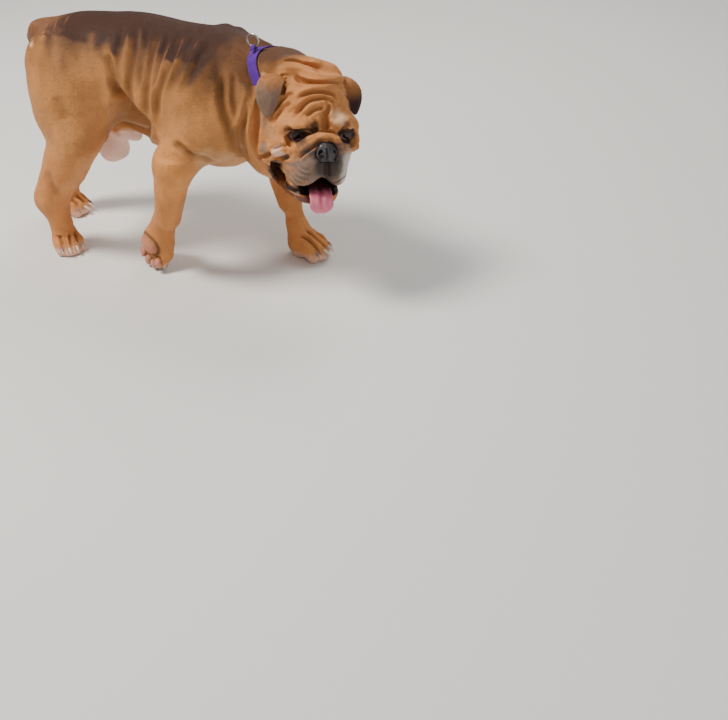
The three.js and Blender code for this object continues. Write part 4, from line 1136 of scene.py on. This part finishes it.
wet_eye = eye_finish()
for name, side in SIDES.items():
    bm = bmesh.new()
    bmesh.ops.create_uvsphere(bm, u_segments=48, v_segments=32, radius=EYE_RADIUS)
    bmesh.ops.rotate(bm, verts=bm.verts, matrix=Matrix.Rotation(math.pi / 2, 3, "Y"))
    away = []
    for vert in bm.verts:
        angle = Vector((1, 0, 0)).angle(vert.co)
        away.append(angle / IRIS_ANGLE * IRIS_EDGE)
        vert.co *= 1 + CORNEA * max(0, math.cos(min(angle / IRIS_ANGLE, 1) * math.pi / 2)) ** 0.7
    bm.transform(eye_frame(side))
    eye = finished(f"eyeball_{name}", bm)
    eye.data.shade_smooth()
    store(eye, "from_pupil", np.minimum(away, 1))
    dress(eye, wet_eye, "eye", f"eye_{name}")
print("eyes:", [piece.name for piece in pieces[-2:]])

# %% [markdown]
# The edge of each lid is a smooth, moist, nearly black rim. It runs round the almond as a thin
# tube, a curve with a round section. Inside the lower lid shows a little of the pink haw.

# %% Rims of the lids
def tube(name, line, thickness, closed=True):
    """A round tube along a line of places in the scene, as a mesh."""
    curve = bpy.data.curves.new(name, "CURVE")
    curve.dimensions = "3D"
    curve.bevel_depth = thickness / 2 * MM
    curve.bevel_resolution = 3
    curve.use_fill_caps = not closed
    spline = curve.splines.new("POLY")
    spline.points.add(len(line) - 1)
    set_numbers(spline.points, "co", np.column_stack([line, np.ones(len(line))]))
    spline.use_cyclic_u = closed
    draft = bpy.data.objects.new(name, curve)
    mesh = bpy.data.meshes.new_from_object(draft)
    bpy.data.objects.remove(draft)
    mesh.shade_smooth()
    return linked(name, mesh)


def lid_line(side, radius, grown=1.0, turns=np.linspace(0, 2 * math.pi, 64, endpoint=False)):
    """Places on the almond, this far from the eye's middle."""
    across = grown * OPENING[0] * np.cos(turns)
    up = grown * np.where(np.sin(turns) > 0, OPENING[1], OPENING[2]) * np.sin(turns)
    up = up - LID_TILT * across / OPENING[0]
    ways = np.column_stack([np.cos(up) * np.cos(across), np.cos(up) * np.sin(across), np.sin(up)])
    return placed(eye_frame(side), ways * radius)


RIM_THICKNESS, HAW_THICKNESS = 2.2, 1.6
LOWER_LID = np.linspace(1.12 * math.pi, 1.88 * math.pi, 30)
lid_rim = Finish("lid_rim", 0.3, Coat_Weight=0.4)
lid_rim.tint("3a2a28", lid_rim.varied(lid_rim.noise(160.0), 0.7, 1.3))
haw_pink = Finish("haw_pink", 0.2, Coat_Weight=0.6)
haw_pink.tint("a8645c", haw_pink.varied(haw_pink.noise(300.0), 0.7, 1.3))
for name, side in SIDES.items():
    rim = tube(f"lid_{name}", lid_line(side, EYE_RADIUS + 0.7), RIM_THICKNESS)
    lower = lid_line(side, EYE_RADIUS + 0.2, 0.93, LOWER_LID)
    haw = tube(f"haw_{name}", lower, HAW_THICKNESS, closed=False)
    dress(rim, lid_rim.material, "pale_skin")
    dress(haw, haw_pink.material, "pale_skin")
print("lids:", [piece.name for piece in pieces[-4:]])

# %% [markdown]
# # The nose
# A dog's nose is bare, cobbled leather with two comma-shaped nostrils and a groove between them. A
# copy of the solid is closed up, remeshed finely, and sculpted in the same way as the skin.

# %% Nose leather
def soft_copy(name, node, voxel, give, rounds):
    """A copy of a solid, remeshed and smoothed, ready to be sculpted."""
    piece = remeshed(finished(name, merged([node])), voxel)
    softened(piece, np.full(len(piece.data.vertices), give), rounds)
    return Clay(piece)


NOSTRIL = [(321.2, 149.5), (318.6, 149.8), (316.8, 151.8), (316.2, 154.6), (317.4, 156)]
NOSTRIL += [(318.8, 154.2), (320.6, 154), (322.2, 152.2)]
NOSE_GROOVE = [(326.5, 147), (327, 152), (327, 157), (327, 162)]
nose = soft_copy("nose_leather", "nose", 0.9, 0.6, 14)
nose.press(NOSTRIL, 7, 1.2, (45, 0, -20))
nose.fold(*nose.seen(NOSE_GROOVE), 1.6, 2)
nose.points = narrowed(nose.points)
nose.settle()
store(nose.piece, "hollow", nose.crease_shade)
leather = Finish("nose_skin", 0.38, Coat_Weight=0.15)
cobbles = leather.math("MINIMUM", leather.cells(1000.0, "DISTANCE_TO_EDGE"), 0.22)
# Painted shade in the nostrils and the groove, darker where they are pressed deeper.
nostril_and_groove_shade = leather.ranged(leather.stored("hollow"), 1.0, 0.15)
leather.tint("2e282b", leather.math("MULTIPLY", leather.varied(leather.noise(60.0), 0.75, 1.35), nostril_and_groove_shade))
leather.bump(cobbles, 0.6, 1.4)
dress(nose.piece, leather.material, "nose", "nose")
print("nose:", len(nose.piece.data.polygons), "faces")

# %% [markdown]
# # The tongue
# The tongue hangs out over the lower lip. Only its front is in the light, so its root is darker.

# %% Tongue
TONGUE_GROOVE = [(2, 0, -78), (24, -2, -80), (40, -3, -90), (50, -4, -104), (50, -4, -114)]  # head's frame
tongue = soft_copy("tongue_flesh", "tongue", 1.3, 0.7, 24)
tongue.fold(*tongue.nearest(placed(HEAD, curve_through(TONGUE_GROOVE))), 3.2, 2.4, banks=0.5)
tongue.settle()
reach = seen_from(HEAD, tongue.points)
store(tongue.piece, "light", smoothstep(18, 44, reach[:, 0] - 0.15 * (reach[:, 2] + 95)))
flesh = Finish("tongue_skin", 0.36, Coat_Weight=0.2, Subsurface_Weight=0.15, Subsurface_Scale=0.004)
flesh.tint(flesh.blend("light", "4a1a1e", "de6f86"), flesh.varied(flesh.noise(70.0), 0.85, 1.15))
flesh.bump(flesh.cells(900.0), 0.4, 0.8)
dress(tongue.piece, flesh.material, "tongue", "tongue")
print("tongue:", len(tongue.piece.data.polygons), "faces")

# %% [markdown]
# # The ears
# A bulldog's rose ear is a thin flap that folds over at the top and hangs with its tip down. A
# grid of four by five points is placed on sight lines, each at its own depth in the head's frame.
# Subdivision rounds it and Solidify gives it its thickness. The left ear is its mirror image, a
# little smaller.

# %% Ear flaps
EAR_NET = [
    [(266, 73, -66), (272, 71, -64), (279, 72, -58), (286, 77, -50)],
    [(258, 80, -52), (265, 76, -44), (276, 76, -37), (284, 81, -34)],
    [(255.5, 91, -42), (262, 90, -34), (272, 90, -28), (281, 91, -27)],
    [(257, 104, -37), (263, 104, -27), (271, 104, -22), (278, 102, -23)],
    [(263, 114, -29), (266, 117, -24), (269.5, 117, -22), (273, 112, -24)],
]
EAR_THICKNESS = 3.4
EARS = {  # size, move in millimetres, colours at the root and the tip, and where one becomes the other
    "right": (1.0, (0, 0, 0), RED_FAWN * 0.7, EAR_GREY, (0.05, 0.45)),
    # The left ear's dark lower part is painted shade of the flap's inside.
    "left": (0.86, (0, 17, -7), RED_FAWN * 0.65, colour("38201c"), (0.15, 0.65)),
}
EAR_RIM = colour("a8917f")


def at_depth(u, v, x):
    """The place on a sight line that has this X in the head's frame."""
    start, way = seen_from(HEAD, [camera.location, camera.location + sight(u, v)])
    way = way - start
    return start + way * (x - start[0]) / way[0]


def sheet(name, rows, side, thickness):
    """A rounded sheet through rows of points of the head's frame, with a thickness in millimetres."""
    rows = np.array(rows, float)
    high, wide = len(rows) - 1, len(rows[0]) - 1
    bm = bmesh.new()
    bmesh.ops.create_grid(bm, x_segments=wide, y_segments=high, size=0.5)
    for vert in bm.verts:
        across, down = round((vert.co.x + 0.5) * wide), round((0.5 - vert.co.y) * high)
        vert.co = rows[down, across] * (1, -side, 1)
    if side > 0:
        bmesh.ops.reverse_faces(bm, faces=bm.faces)
    bm.transform(HEAD)
    piece = finished(name, bm)
    shaped(piece, "SUBSURF", levels=3)
    shaped(piece, "SOLIDIFY", thickness=thickness * MM, offset=0, use_even_offset=True)
    shaped(piece, "SUBSURF", levels=1)
    piece.data.shade_smooth()
    return piece


def edge_of(piece, marks, side, width):
    """How near the points of a piece are to a line of the head's frame."""
    return along(points_of(piece), placed(HEAD, curve_through(marks) * (1, -side, 1)), width)


ear_marks = np.array([[at_depth(*mark) for mark in row] for row in EAR_NET])
ear_root = ear_marks[0].mean(0)
ears = []
for name, (size, move, root, tip, ends) in EARS.items():
    rows = ear_root + (ear_marks - ear_root) * size + move
    ear = sheet(f"ear_flap_{name}", rows, SIDES[name], EAR_THICKNESS)
    down = (rows[:, :, 2].max() - seen_from(HEAD, points_of(ear))[:, 2]) / np.ptp(rows[:, :, 2])
    tone = root + (tip - root) * smoothstep(*ends, down)[:, None]
    outer = np.vstack([rows[:, 0], rows[-1], rows[::-1, -1]])
    tone += (EAR_RIM - tone) * 0.45 * edge_of(ear, outer, SIDES[name], 2.0)[:, None]
    paint(ear, tone, np.zeros(len(tone)))
    ears.append(dress(ear, short_coat, "coat", f"ear_{name}"))
print("ears:", [len(ear.data.polygons) for ear in ears], "faces")

# %% [markdown]
# # The lower lip
# Behind the flews the lower lip hangs in a loose, moist fold that runs back to the corner of the
# mouth. It is a sheet of five rows: its furry outside, its rim, the dark channel, the side that
# goes up behind the flew, and a last row inside the mouth. The left lip is the right one's mirror
# image, drawn in to the cheek on that side.

# %% Lower lip
LIP_NET = [
    [(265.5, 163, -46), (266, 168, -50), (271, 174.5, -48), (278, 180.5, -36), (285, 187, -22),
     (292, 193, -12), (301, 198, 2)],
    [(268, 160, -28), (269, 169, -26), (272.5, 178, -20), (279, 186, -11), (286, 193, 0),
     (294, 198, 8), (302, 200, 12)],
    [(272, 160, -33), (273, 168, -33), (277, 177, -29), (283.5, 185, -21), (290, 191, -10),
     (297, 195, 0), (303, 197, 7)],
    [(278, 160, -38), (280, 168, -38), (283, 176, -34), (289, 184, -26), (294, 188, -16),
     (300, 191, -6), (304, 193, 2)],
]
INTO_MOUTH = (-6, 22, 4)
LIP_THICKNESS = 2.6
BESIDE = 150  # millimetres; further out than any part of the face
LIP_RIM = colour("805048")
lip_marks = np.array([[at_depth(*mark) for mark in row] for row in LIP_NET])
lip_marks = np.concatenate([lip_marks, lip_marks[-1:] + INTO_MOUTH])
cheek = BVHTree.FromObject(skin, bpy.context.evaluated_depsgraph_get())


def left_cheek(x, z):
    """How far out the left side of the face is at this place of the head's frame."""
    start, inwards = placed(HEAD, (x, BESIDE, z))[0], towards(HEAD, (0, -1, 0))
    hit = cheek.ray_cast(start, inwards)[3]
    return BESIDE - (hit or BESIDE * MM) / MM


outwards = np.array([left_cheek(x, z) + 2 for x, _, z in lip_marks[1]]) / -lip_marks[1, :, 1]
outwards = np.clip(outwards, 0.55, 0.95)
outwards = (outwards + np.roll(outwards, 1) + np.roll(outwards, -1)) / 3
outwards[0], outwards[-1] = outwards[1], outwards[-2]
print("left lip, against the right one:", outwards.round(2))
for name, side in SIDES.items():
    rows = lip_marks.copy()
    if side > 0:
        rows[:, :, 1] *= outwards
        rows[0] = rows[1] + (-5, 6, -12)
        rows = rows[:, 1:]
    lip = sheet(f"lower_lip_{name}", rows, side, LIP_THICKNESS)
    points = points_of(lip)
    points += normals_of(lip) * (0.7 * MM * ripple(points, 7, 5))[:, None]
    set_points(lip, points)
    rim, hidden = edge_of(lip, rows[1], side, 3.0), edge_of(lip, rows[0], side, 12)
    # The lip's inner rows get the painted shade of the mouth's inside.
    tone = MOUTH_SHADE + (RED_FAWN * 0.7 - MOUTH_SHADE) * hidden[:, None]
    tone += (LIP_RIM - tone) * rim[:, None]
    paint(lip, tone, 0.75 * (1 - hidden))
    dress(lip, short_coat, "pale_skin")
print("lips:", [len(lip.data.polygons) for lip in pieces[-2:]], "faces")

# %% [markdown]
# # The claws
# Claws are short, blunt horn, pale and a little clear, browner at the root. A copy of the solids is
# rounded by subdivision, and each point keeps how far along the claw it is.

# %% Claws
horn = Finish("claw_horn", 0.3, Subsurface_Weight=0.1, Subsurface_Scale=0.003, Coat_Weight=0.15)
grain = horn.noise(1.0, stretch=(500, 500, 120))
horn.tint(horn.blend("tip", "8f7263", "dccdbb"), horn.varied(grain, 0.8, 1.15))
horn.bump(grain, 0.25, 0.5)
for paw, (matrix, _) in PAWS.items():
    names = [f"{paw.replace('paw', 'claw')}_{n}" for n in (1, 2, 3, 4)]
    claw = finished(f"claws_{paw}", merged(names))
    shaped(claw, "SUBSURF", levels=2)
    claw.data.shade_smooth()
    ahead = seen_from(matrix, points_of(claw))[:, 0]
    store(claw, "tip", smoothstep(np.percentile(ahead, 25), np.percentile(ahead, 70), ahead))
    dress(claw, horn.material, "claw", *names)
print("claws:", len(PAWS), "sets of four")

# %% [markdown]
# # The collar
# The collar is purple nylon webbing, 20 mm wide. It is one flat sheet bent into a ring, which gets
# its thickness from Solidify. Each point knows how far along and across the band it is, in
# millimetres, so the weave follows the band.

# %% Webbing
BAND_STEPS = 150
BAND_RADIUS = 90  # millimetres; turns an angle round the collar into a length along it
bm = bmesh.new()
bmesh.ops.create_grid(bm, x_segments=BAND_STEPS, y_segments=8, size=0.5)
for vert in bm.verts:
    angle = COVERED_ANGLE + (vert.co.x + 0.5) * 2 * math.pi
    inner, middle = band_at(angle % FULL_TURN)
    radius = inner + BAND_THICKNESS / 2
    vert.co = (middle + vert.co.y * BAND_WIDTH, radius * math.cos(angle), radius * math.sin(angle))
bmesh.ops.remove_doubles(bm, verts=bm.verts, dist=0.05)
bm.transform(COLLAR)
bmesh.ops.recalc_face_normals(bm, faces=bm.faces)
webbing = finished("collar_webbing", bm)
shaped(webbing, "SMOOTH", factor=0.5, iterations=6)
shaped(webbing, "SOLIDIFY", thickness=2.2 * MM, offset=0, use_even_offset=True)


def edged(piece, degrees):
    """Rounds a piece's edges where its faces meet at more than this angle."""
    limit = math.radians(degrees)
    return shaped(piece, "BEVEL", width=0.5 * MM, segments=2, limit_method="ANGLE", angle_limit=limit)


edged(webbing, 50)
webbing.data.shade_smooth()
_, angle, _, across = round_neck(points_of(webbing))
store(webbing, "along", (angle - COVERED_ANGLE) % FULL_TURN * BAND_RADIUS)
store(webbing, "across", across)
nylon = Finish("purple_nylon", 0.6, Sheen_Weight=0.1, Sheen_Roughness=0.4, Specular_IOR_Level=0.3)
run, side_run = nylon.stored("along"), nylon.stored("across")
ribs = nylon.math("SINE", nylon.math("MULTIPLY", run, 3.6), 0)
slant = nylon.math("ADD", nylon.math("MULTIPLY", run, 2.2), nylon.math("MULTIPLY", side_run, 5.0))
weave = nylon.math("MULTIPLY", nylon.math("ADD", ribs, nylon.math("SINE", slant, 0)), 0.5)
worn = nylon.varied(nylon.noise(40.0), 0.75, 1.25)
nylon.tint("541690", nylon.math("MULTIPLY", worn, nylon.ranged(weave, 0.7, 1.2, -1.0, 1.0)))
nylon.bump(weave, 0.6, 0.5)
dress(webbing, nylon.material, "webbing", "collar_band")
print("webbing:", len(webbing.data.polygons), "faces")

# %% [markdown]
# The steel ring stands up in a small keeper of the same webbing, and the buckle is a plain plate of
# black plastic. They are copies of their solids: the ring is rounded by subdivision, and the other
# two get small bevels on their edges.

# %% Ring, keeper and buckle
INSET, SUNK, RAISED_INSET, RAISED = 2, -0.7, 1.6, 0.9  # of the buckle's plate, in millimetres


def rounded(name, node, finish, slot):
    """A copy of a solid with its facets rounded away."""
    bm = merged([node])
    bmesh.ops.join_triangles(bm, faces=bm.faces, angle_face_threshold=0.3, angle_shape_threshold=1.2)
    if slot == "clasp":
        plate = max(bm.faces, key=lambda face: face.calc_area() + face.calc_center_median().y)
        for thickness, depth in ((INSET, SUNK), (RAISED_INSET, RAISED)):
            bmesh.ops.inset_individual(bm, faces=[plate], thickness=thickness * MM, depth=depth * MM)
    piece = finished(name, bm)
    if slot == "steel":
        shaped(piece, "SUBSURF", levels=2)
    else:
        edged(piece, 40)
    piece.data.shade_smooth()
    return dress(piece, finish.material, slot, node)


steel = Finish("ring_steel", 0.25, Metallic=1.0)
wear = steel.noise(220.0, detail=5.0)
steel.tint("c9c6c0", steel.varied(wear, 0.75, 1.1))
steel.set("Roughness", steel.varied(wear, 0.18, 0.4))
plastic = Finish("clasp_plastic", 0.4)
grain = plastic.noise(700.0)
plastic.tint("1c1a1d", plastic.varied(grain, 0.8, 1.2))
plastic.bump(grain, 0.2, 0.3)
rounded("steel_ring", "collar_ring", steel, "steel")
keeper = rounded("keeper", "collar_keeper", nylon, "webbing")
rounded("buckle", "collar_buckle", plastic, "clasp")
local = points_of(keeper) / MM
store(keeper, "along", local[:, 1])
store(keeper, "across", local[:, 0])
print("on the collar:", [piece.name for piece in pieces[-3:]])

# %% [markdown]
# # The coat
# A bulldog's hair is short, and lies flat, so the skin's colour does most of the work. Thousands of
# thin blades of hair over it, each a closed sliver of four faces, break the outline and catch the
# light along the lie of the coat. The lie runs back from the nose, along the trunk and down the
# legs. Hair that a modifier grows would be lost in an export, so the blades are one mesh.

# %% The lie of the coat
def on_face(points):
    """1 on the head, where the hair is short and lies back from the nose, and 0 off it."""
    return smoothstep(1.3, 0.9, near_place(points, HEAD, (-10, 0, -20), (90, 100, 110)))


def lie_of_coat(points, normals, hanging):
    """The way that hairs lie at points with these normals; hanging is 1 on an ear, or else 0."""
    in_head = on_face(points)[:, None]
    in_legs = smoothstep(235, 150, seen_from(BODY, points)[:, 2])[:, None]
    low_down = smoothstep(0.3, -0.9, normals[:, 2])[:, None]
    ways = towards(BODY, (-1, 0, -0.25)) * (1 - low_down) + towards(BODY, (-0.9, 0, -0.1)) * low_down
    ways = ways * (1 - in_legs) + towards(BODY, (-0.12, 0, -1)) * in_legs
    ways = ways * (1 - in_head) + towards(HEAD, (-0.9, 0, -0.15)) * in_head
    ways = np.where(hanging[:, None], towards(HEAD, (0.2, 0, -1)), ways)
    ways = ways + 0.16 * np.column_stack([ripple(points, 45, seed) for seed in (11, 12, 13)])
    ways -= normals * (ways * normals).sum(axis=1)[:, None]
    return ways / np.maximum(np.linalg.norm(ways, axis=1), 1e-6)[:, None]


def hair_length(points):
    """The length of the hair in millimetres: least on the muzzle and the feet."""
    z = seen_from(BODY, points)[:, 2]
    muzzle = smoothstep(1.3, 0.8, near_place(points, HEAD, (25, 0, -50), (50, 60, 45)))
    length = 3.4 + 1.0 * smoothstep(90, 230, z)
    return length - 1.7 * on_face(points) - 0.8 * muzzle - 1.2 * smoothstep(50, 20, z)


back, brow = placed(BODY, (0, 0, 380)), placed(HEAD, (0, 0, 40))
print("hair, in mm:", hair_length(np.vstack([back, brow])).round(1), "on the back and the brow")

# %% [markdown]
# A hair's root is a random place on a random face. How likely a face is follows its area and how
# densely hair should grow there: more on the head, where the hair is shorter, and none on bare skin
# or under the collar.

# %% Where the hairs grow
HAIRS, EAR_HAIRS = 132_000, 3_200
SEED = 7
draw = np.random.default_rng(SEED)


def grown_on(piece, count, bare, wish):
    """Roots of hairs on a piece, as many as wished: places, normals and colours."""
    piece.data.calc_loop_triangles()
    corners = numbers(piece.data.loop_triangles, "vertices", 3, int)
    base, facing = points_of(piece), normals_of(piece)
    tones = numbers(piece.data.color_attributes["coat"].data, "color", 4)[:, :3]
    sides = base[corners[:, 1]] - base[corners[:, 0]], base[corners[:, 2]] - base[corners[:, 0]]
    area = np.linalg.norm(np.cross(*sides), axis=1) / 2
    chance = area * wish(base[corners].mean(axis=1)) * smoothstep(0.35, 0.1, bare[corners].mean(axis=1))
    chosen = np.sort(draw.choice(len(area), count, p=chance / chance.sum()))
    share = draw.dirichlet((1, 1, 1), count)[:, :, None]
    found = [(values[corners[chosen]] * share).sum(axis=1) for values in (base, facing, tones)]
    found[1] /= np.linalg.norm(found[1], axis=1)[:, None]
    return found


def wished(places):
    """How densely hairs should grow: most on the head, none under the collar and the paws."""
    z = seen_from(BODY, places)[:, 2]
    wish = 1 + 2.2 * on_face(places)
    wish += smoothstep(60, 30, z)
    _, angle, radius, beside = round_neck(places)
    under_band = (np.abs(beside) < BAND_WIDTH / 2 + 7) & (radius < 125)
    wish[under_band & (np.cos(angle - COVERED_ANGLE) < math.cos(COVERED_HALF - 0.2))] = 0
    wish[near_place(places, HEAD, NOSE_PLACE, (22, 24, 22)) < 1] = 0
    wish[z < 4] = 0
    return wish


def evenly(places):
    return np.ones(len(places))


grown = [grown_on(skin, HAIRS, skin_bare, wished)]
grown += [grown_on(ear, EAR_HAIRS, np.zeros(len(ear.data.vertices)), evenly) for ear in ears]
hair_roots, hair_normals, hair_colours = [np.vstack(parts) for parts in zip(*grown)]
on_ear = np.arange(len(hair_roots)) >= HAIRS
print("hairs:", HAIRS, "on the skin and", 2 * EAR_HAIRS, "on the ears")

# %% [markdown]
# When the model's colours are baked into images, each hair needs a small place in the image. The
# skin's own shape is unwrapped on a light copy of it, and each hair gets a tiny patch where it grows.

# %% An unwrap of the skin, and each root's place on it
MAP_NAME = "OFBake"
draft = finished("draft", bmesh.new())
draft.data = skin.data.copy()
shaped(draft, "DECIMATE", ratio=0.04)
bpy.ops.object.select_all(action="DESELECT")
draft.select_set(True)
bpy.context.view_layer.objects.active = draft
bpy.ops.object.mode_set(mode="EDIT")
bpy.ops.mesh.select_all(action="SELECT")
bpy.ops.uv.smart_project(angle_limit=math.radians(66), island_margin=0.004)
bpy.ops.object.mode_set(mode="OBJECT")
draft_tree = BVHTree.FromObject(draft, bpy.context.evaluated_depsgraph_get())
spots = numbers(draft.data.uv_layers.active.data, "uv", 2).reshape(-1, 3, 2).astype(float)
places = points_of(draft)[numbers(draft.data.polygons, "vertices", 3, int)]
found, _, face, _ = zip(*[draft_tree.find_nearest(root) for root in hair_roots])
found, face = np.array(found), np.array(face)
a, b, c = places[face].transpose(1, 0, 2)
whole = np.cross(b - a, c - a)
size_of = (whole**2).sum(axis=1)
second = (np.cross(found - a, c - a) * whole).sum(axis=1) / size_of
third = (np.cross(b - a, found - a) * whole).sum(axis=1) / size_of
weights = np.clip(np.column_stack([1 - second - third, second, third]), 0, 1)
hair_spots = (spots[face] * weights[:, :, None]).sum(axis=1)
bpy.data.objects.remove(draft)
print("unwrapped on", len(spots), "faces")

# %% [markdown]
# A blade is a flat sliver with a sharp tip. Its root is sunk a little into the skin, and its tip is
# lifted by a few degrees. Length, width, lift and shade vary from one blade to the next. The normals
# are those of the skin below, only slightly turned, so that the coat shines as one soft surface.

# %% The hairs
BLADE_WIDTH, BLADE_RISE, BLADE_ROOT = 0.62, 0.08, 0.15
LIFT = 7  # degrees
SLIVER = np.array([(0, 2, 1), (0, 1, 3), (1, 2, 3), (2, 0, 3)])  # the faces of one blade
PATCH = np.array([(-0.0013, -0.001), (0.0013, -0.001), (0, 0), (0, 0.0014)])
SHADES = np.array([0.97, 0.97, 1, 1.1])  # a blade is lighter at its tip


def coat_piece(name, picked):
    """One mesh of the blades that grow at the picked roots."""
    roots, normals = hair_roots[picked], hair_normals[picked]
    count = len(roots)
    ways = lie_of_coat(roots, normals, on_ear[picked])
    side = np.cross(normals, ways)
    length = hair_length(roots) * draw.uniform(0.75, 1.25, count)
    width = BLADE_WIDTH * (0.55 + 0.075 * length) * draw.uniform(0.8, 1.2, count)
    lift = np.radians(draw.normal(LIFT, 2.5, count))
    ways = ways + side * draw.normal(0, 0.1, count)[:, None]
    tip = ways * (length * np.cos(lift))[:, None] + normals * (length * np.sin(lift))[:, None]
    sunk, half = roots - normals * BLADE_ROOT * MM, side * (width / 2 * MM)[:, None]
    ridge = roots + (normals * BLADE_RISE + ways * 0.4) * MM
    verts = np.stack([sunk - half, sunk + half, ridge, roots + tip * MM], axis=1)
    faces = (SLIVER[None] + 4 * np.arange(count)[:, None, None]).reshape(-1, 3)
    mesh = bpy.data.meshes.new(name)
    mesh.vertices.add(4 * count)
    set_numbers(mesh.vertices, "co", verts)
    mesh.loops.add(faces.size)
    set_numbers(mesh.loops, "vertex_index", faces, np.int32)
    mesh.polygons.add(len(faces))
    set_numbers(mesh.polygons, "loop_start", np.arange(0, faces.size, 3), np.int32)
    mesh.update(calc_edges=True)
    mesh.shade_smooth()
    shine = normals + draw.normal(0, 0.16, (count, 3))
    mesh.normals_split_custom_set_from_vertices(np.repeat(shine, 4, axis=0).tolist())
    uv = (hair_spots[picked][:, None] + PATCH[None]).reshape(-1, 2)[faces.ravel()]
    set_numbers(mesh.uv_layers.new(name=MAP_NAME).data, "uv", uv)
    piece = linked(name, mesh)
    shade = draw.normal(1, 0.07, count)[:, None, None] * SHADES[None, :, None]
    tone = (hair_colours[picked][:, None] * shade).reshape(-1, 3)
    paint(piece, np.clip(tone, 0, 1), np.zeros(len(tone)))
    return dress(piece, hair.material, "coat")


hair = Finish("hair", 0.55, Specular_IOR_Level=0.22, Sheen_Weight=0.03)
hair.tint(hair.stored("coat", "Color"), hair.varied(hair.noise(26.0, detail=4.0), 0.88, 1.12))
LEG_HAIR_TOP = 215  # millimetres above the floor
forward, _, height = seen_from(BODY, hair_roots).T
on_head = ~on_ear & (near_place(hair_roots, HEAD, (-10, 0, -20), (105, 115, 125)) < 1)
low = ~on_head & ~on_ear & (height < LEG_HAIR_TOP)
rest = ~on_head & ~low & ~on_ear
groups = {"coat_head": on_head, "coat_legs": low, "coat_ears": on_ear}
groups |= {"coat_rump": rest & (forward < 0), "coat_shoulders": rest & (forward >= 0)}
coats = [coat_piece(name, picked) for name, picked in groups.items()]
print("coat:", {piece.name: len(piece.data.polygons) for piece in coats})

# %% [markdown]
# # The studio
# The dog stands on a plain pale floor, in the soft light of three large square lamps: a warm key
# from above on the camera's side, a weak cool fill from the front, and a warm one behind.

# %% Floor and light
bm = bmesh.new()
bmesh.ops.create_grid(bm, x_segments=1, y_segments=1, size=6)
floor = finished("floor", bm)
floor.data.materials.append(Finish("pale_floor", 0.8, Base_Color=(0.75, 0.74, 0.71, 1)).material)
WARM, COOL = (1.0, 0.96, 0.9), (0.9, 0.95, 1.0)
MIDDLE = Vector((0, 0, 0.2))
AMBIENT = 0.34
LAMPS = {  # place, width, power and colour
    "key": ((-1.2, -0.9, 2.6), 0.8, 112, WARM),
    "fill": ((2.2, -1.4, 1.2), 2.0, 14, COOL),
    "back": ((0.2, 1.8, 2.4), 1.4, 40, WARM),
}
for name, (place, width, power, tone) in LAMPS.items():
    lamp = linked(name, bpy.data.lights.new(name, "AREA"))
    lamp.data.shape = "SQUARE"
    lamp.data.size = width
    lamp.data.energy = power
    lamp.data.color = tone
    lamp.location = place
    lamp.rotation_euler = (MIDDLE - Vector(place)).to_track_quat("-Z", "Y").to_euler()
world = bpy.data.worlds.new("studio")
world.use_nodes = True
world.node_tree.nodes["Background"].inputs["Color"].default_value = (*COOL, 1)
world.node_tree.nodes["Background"].inputs["Strength"].default_value = AMBIENT
bpy.context.scene.world = world
print("lamps:", list(LAMPS))

# %% [markdown]
# The dog is one still body, so every piece rides on the root.

# %% Finish
for piece in pieces:
    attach(piece, "root")
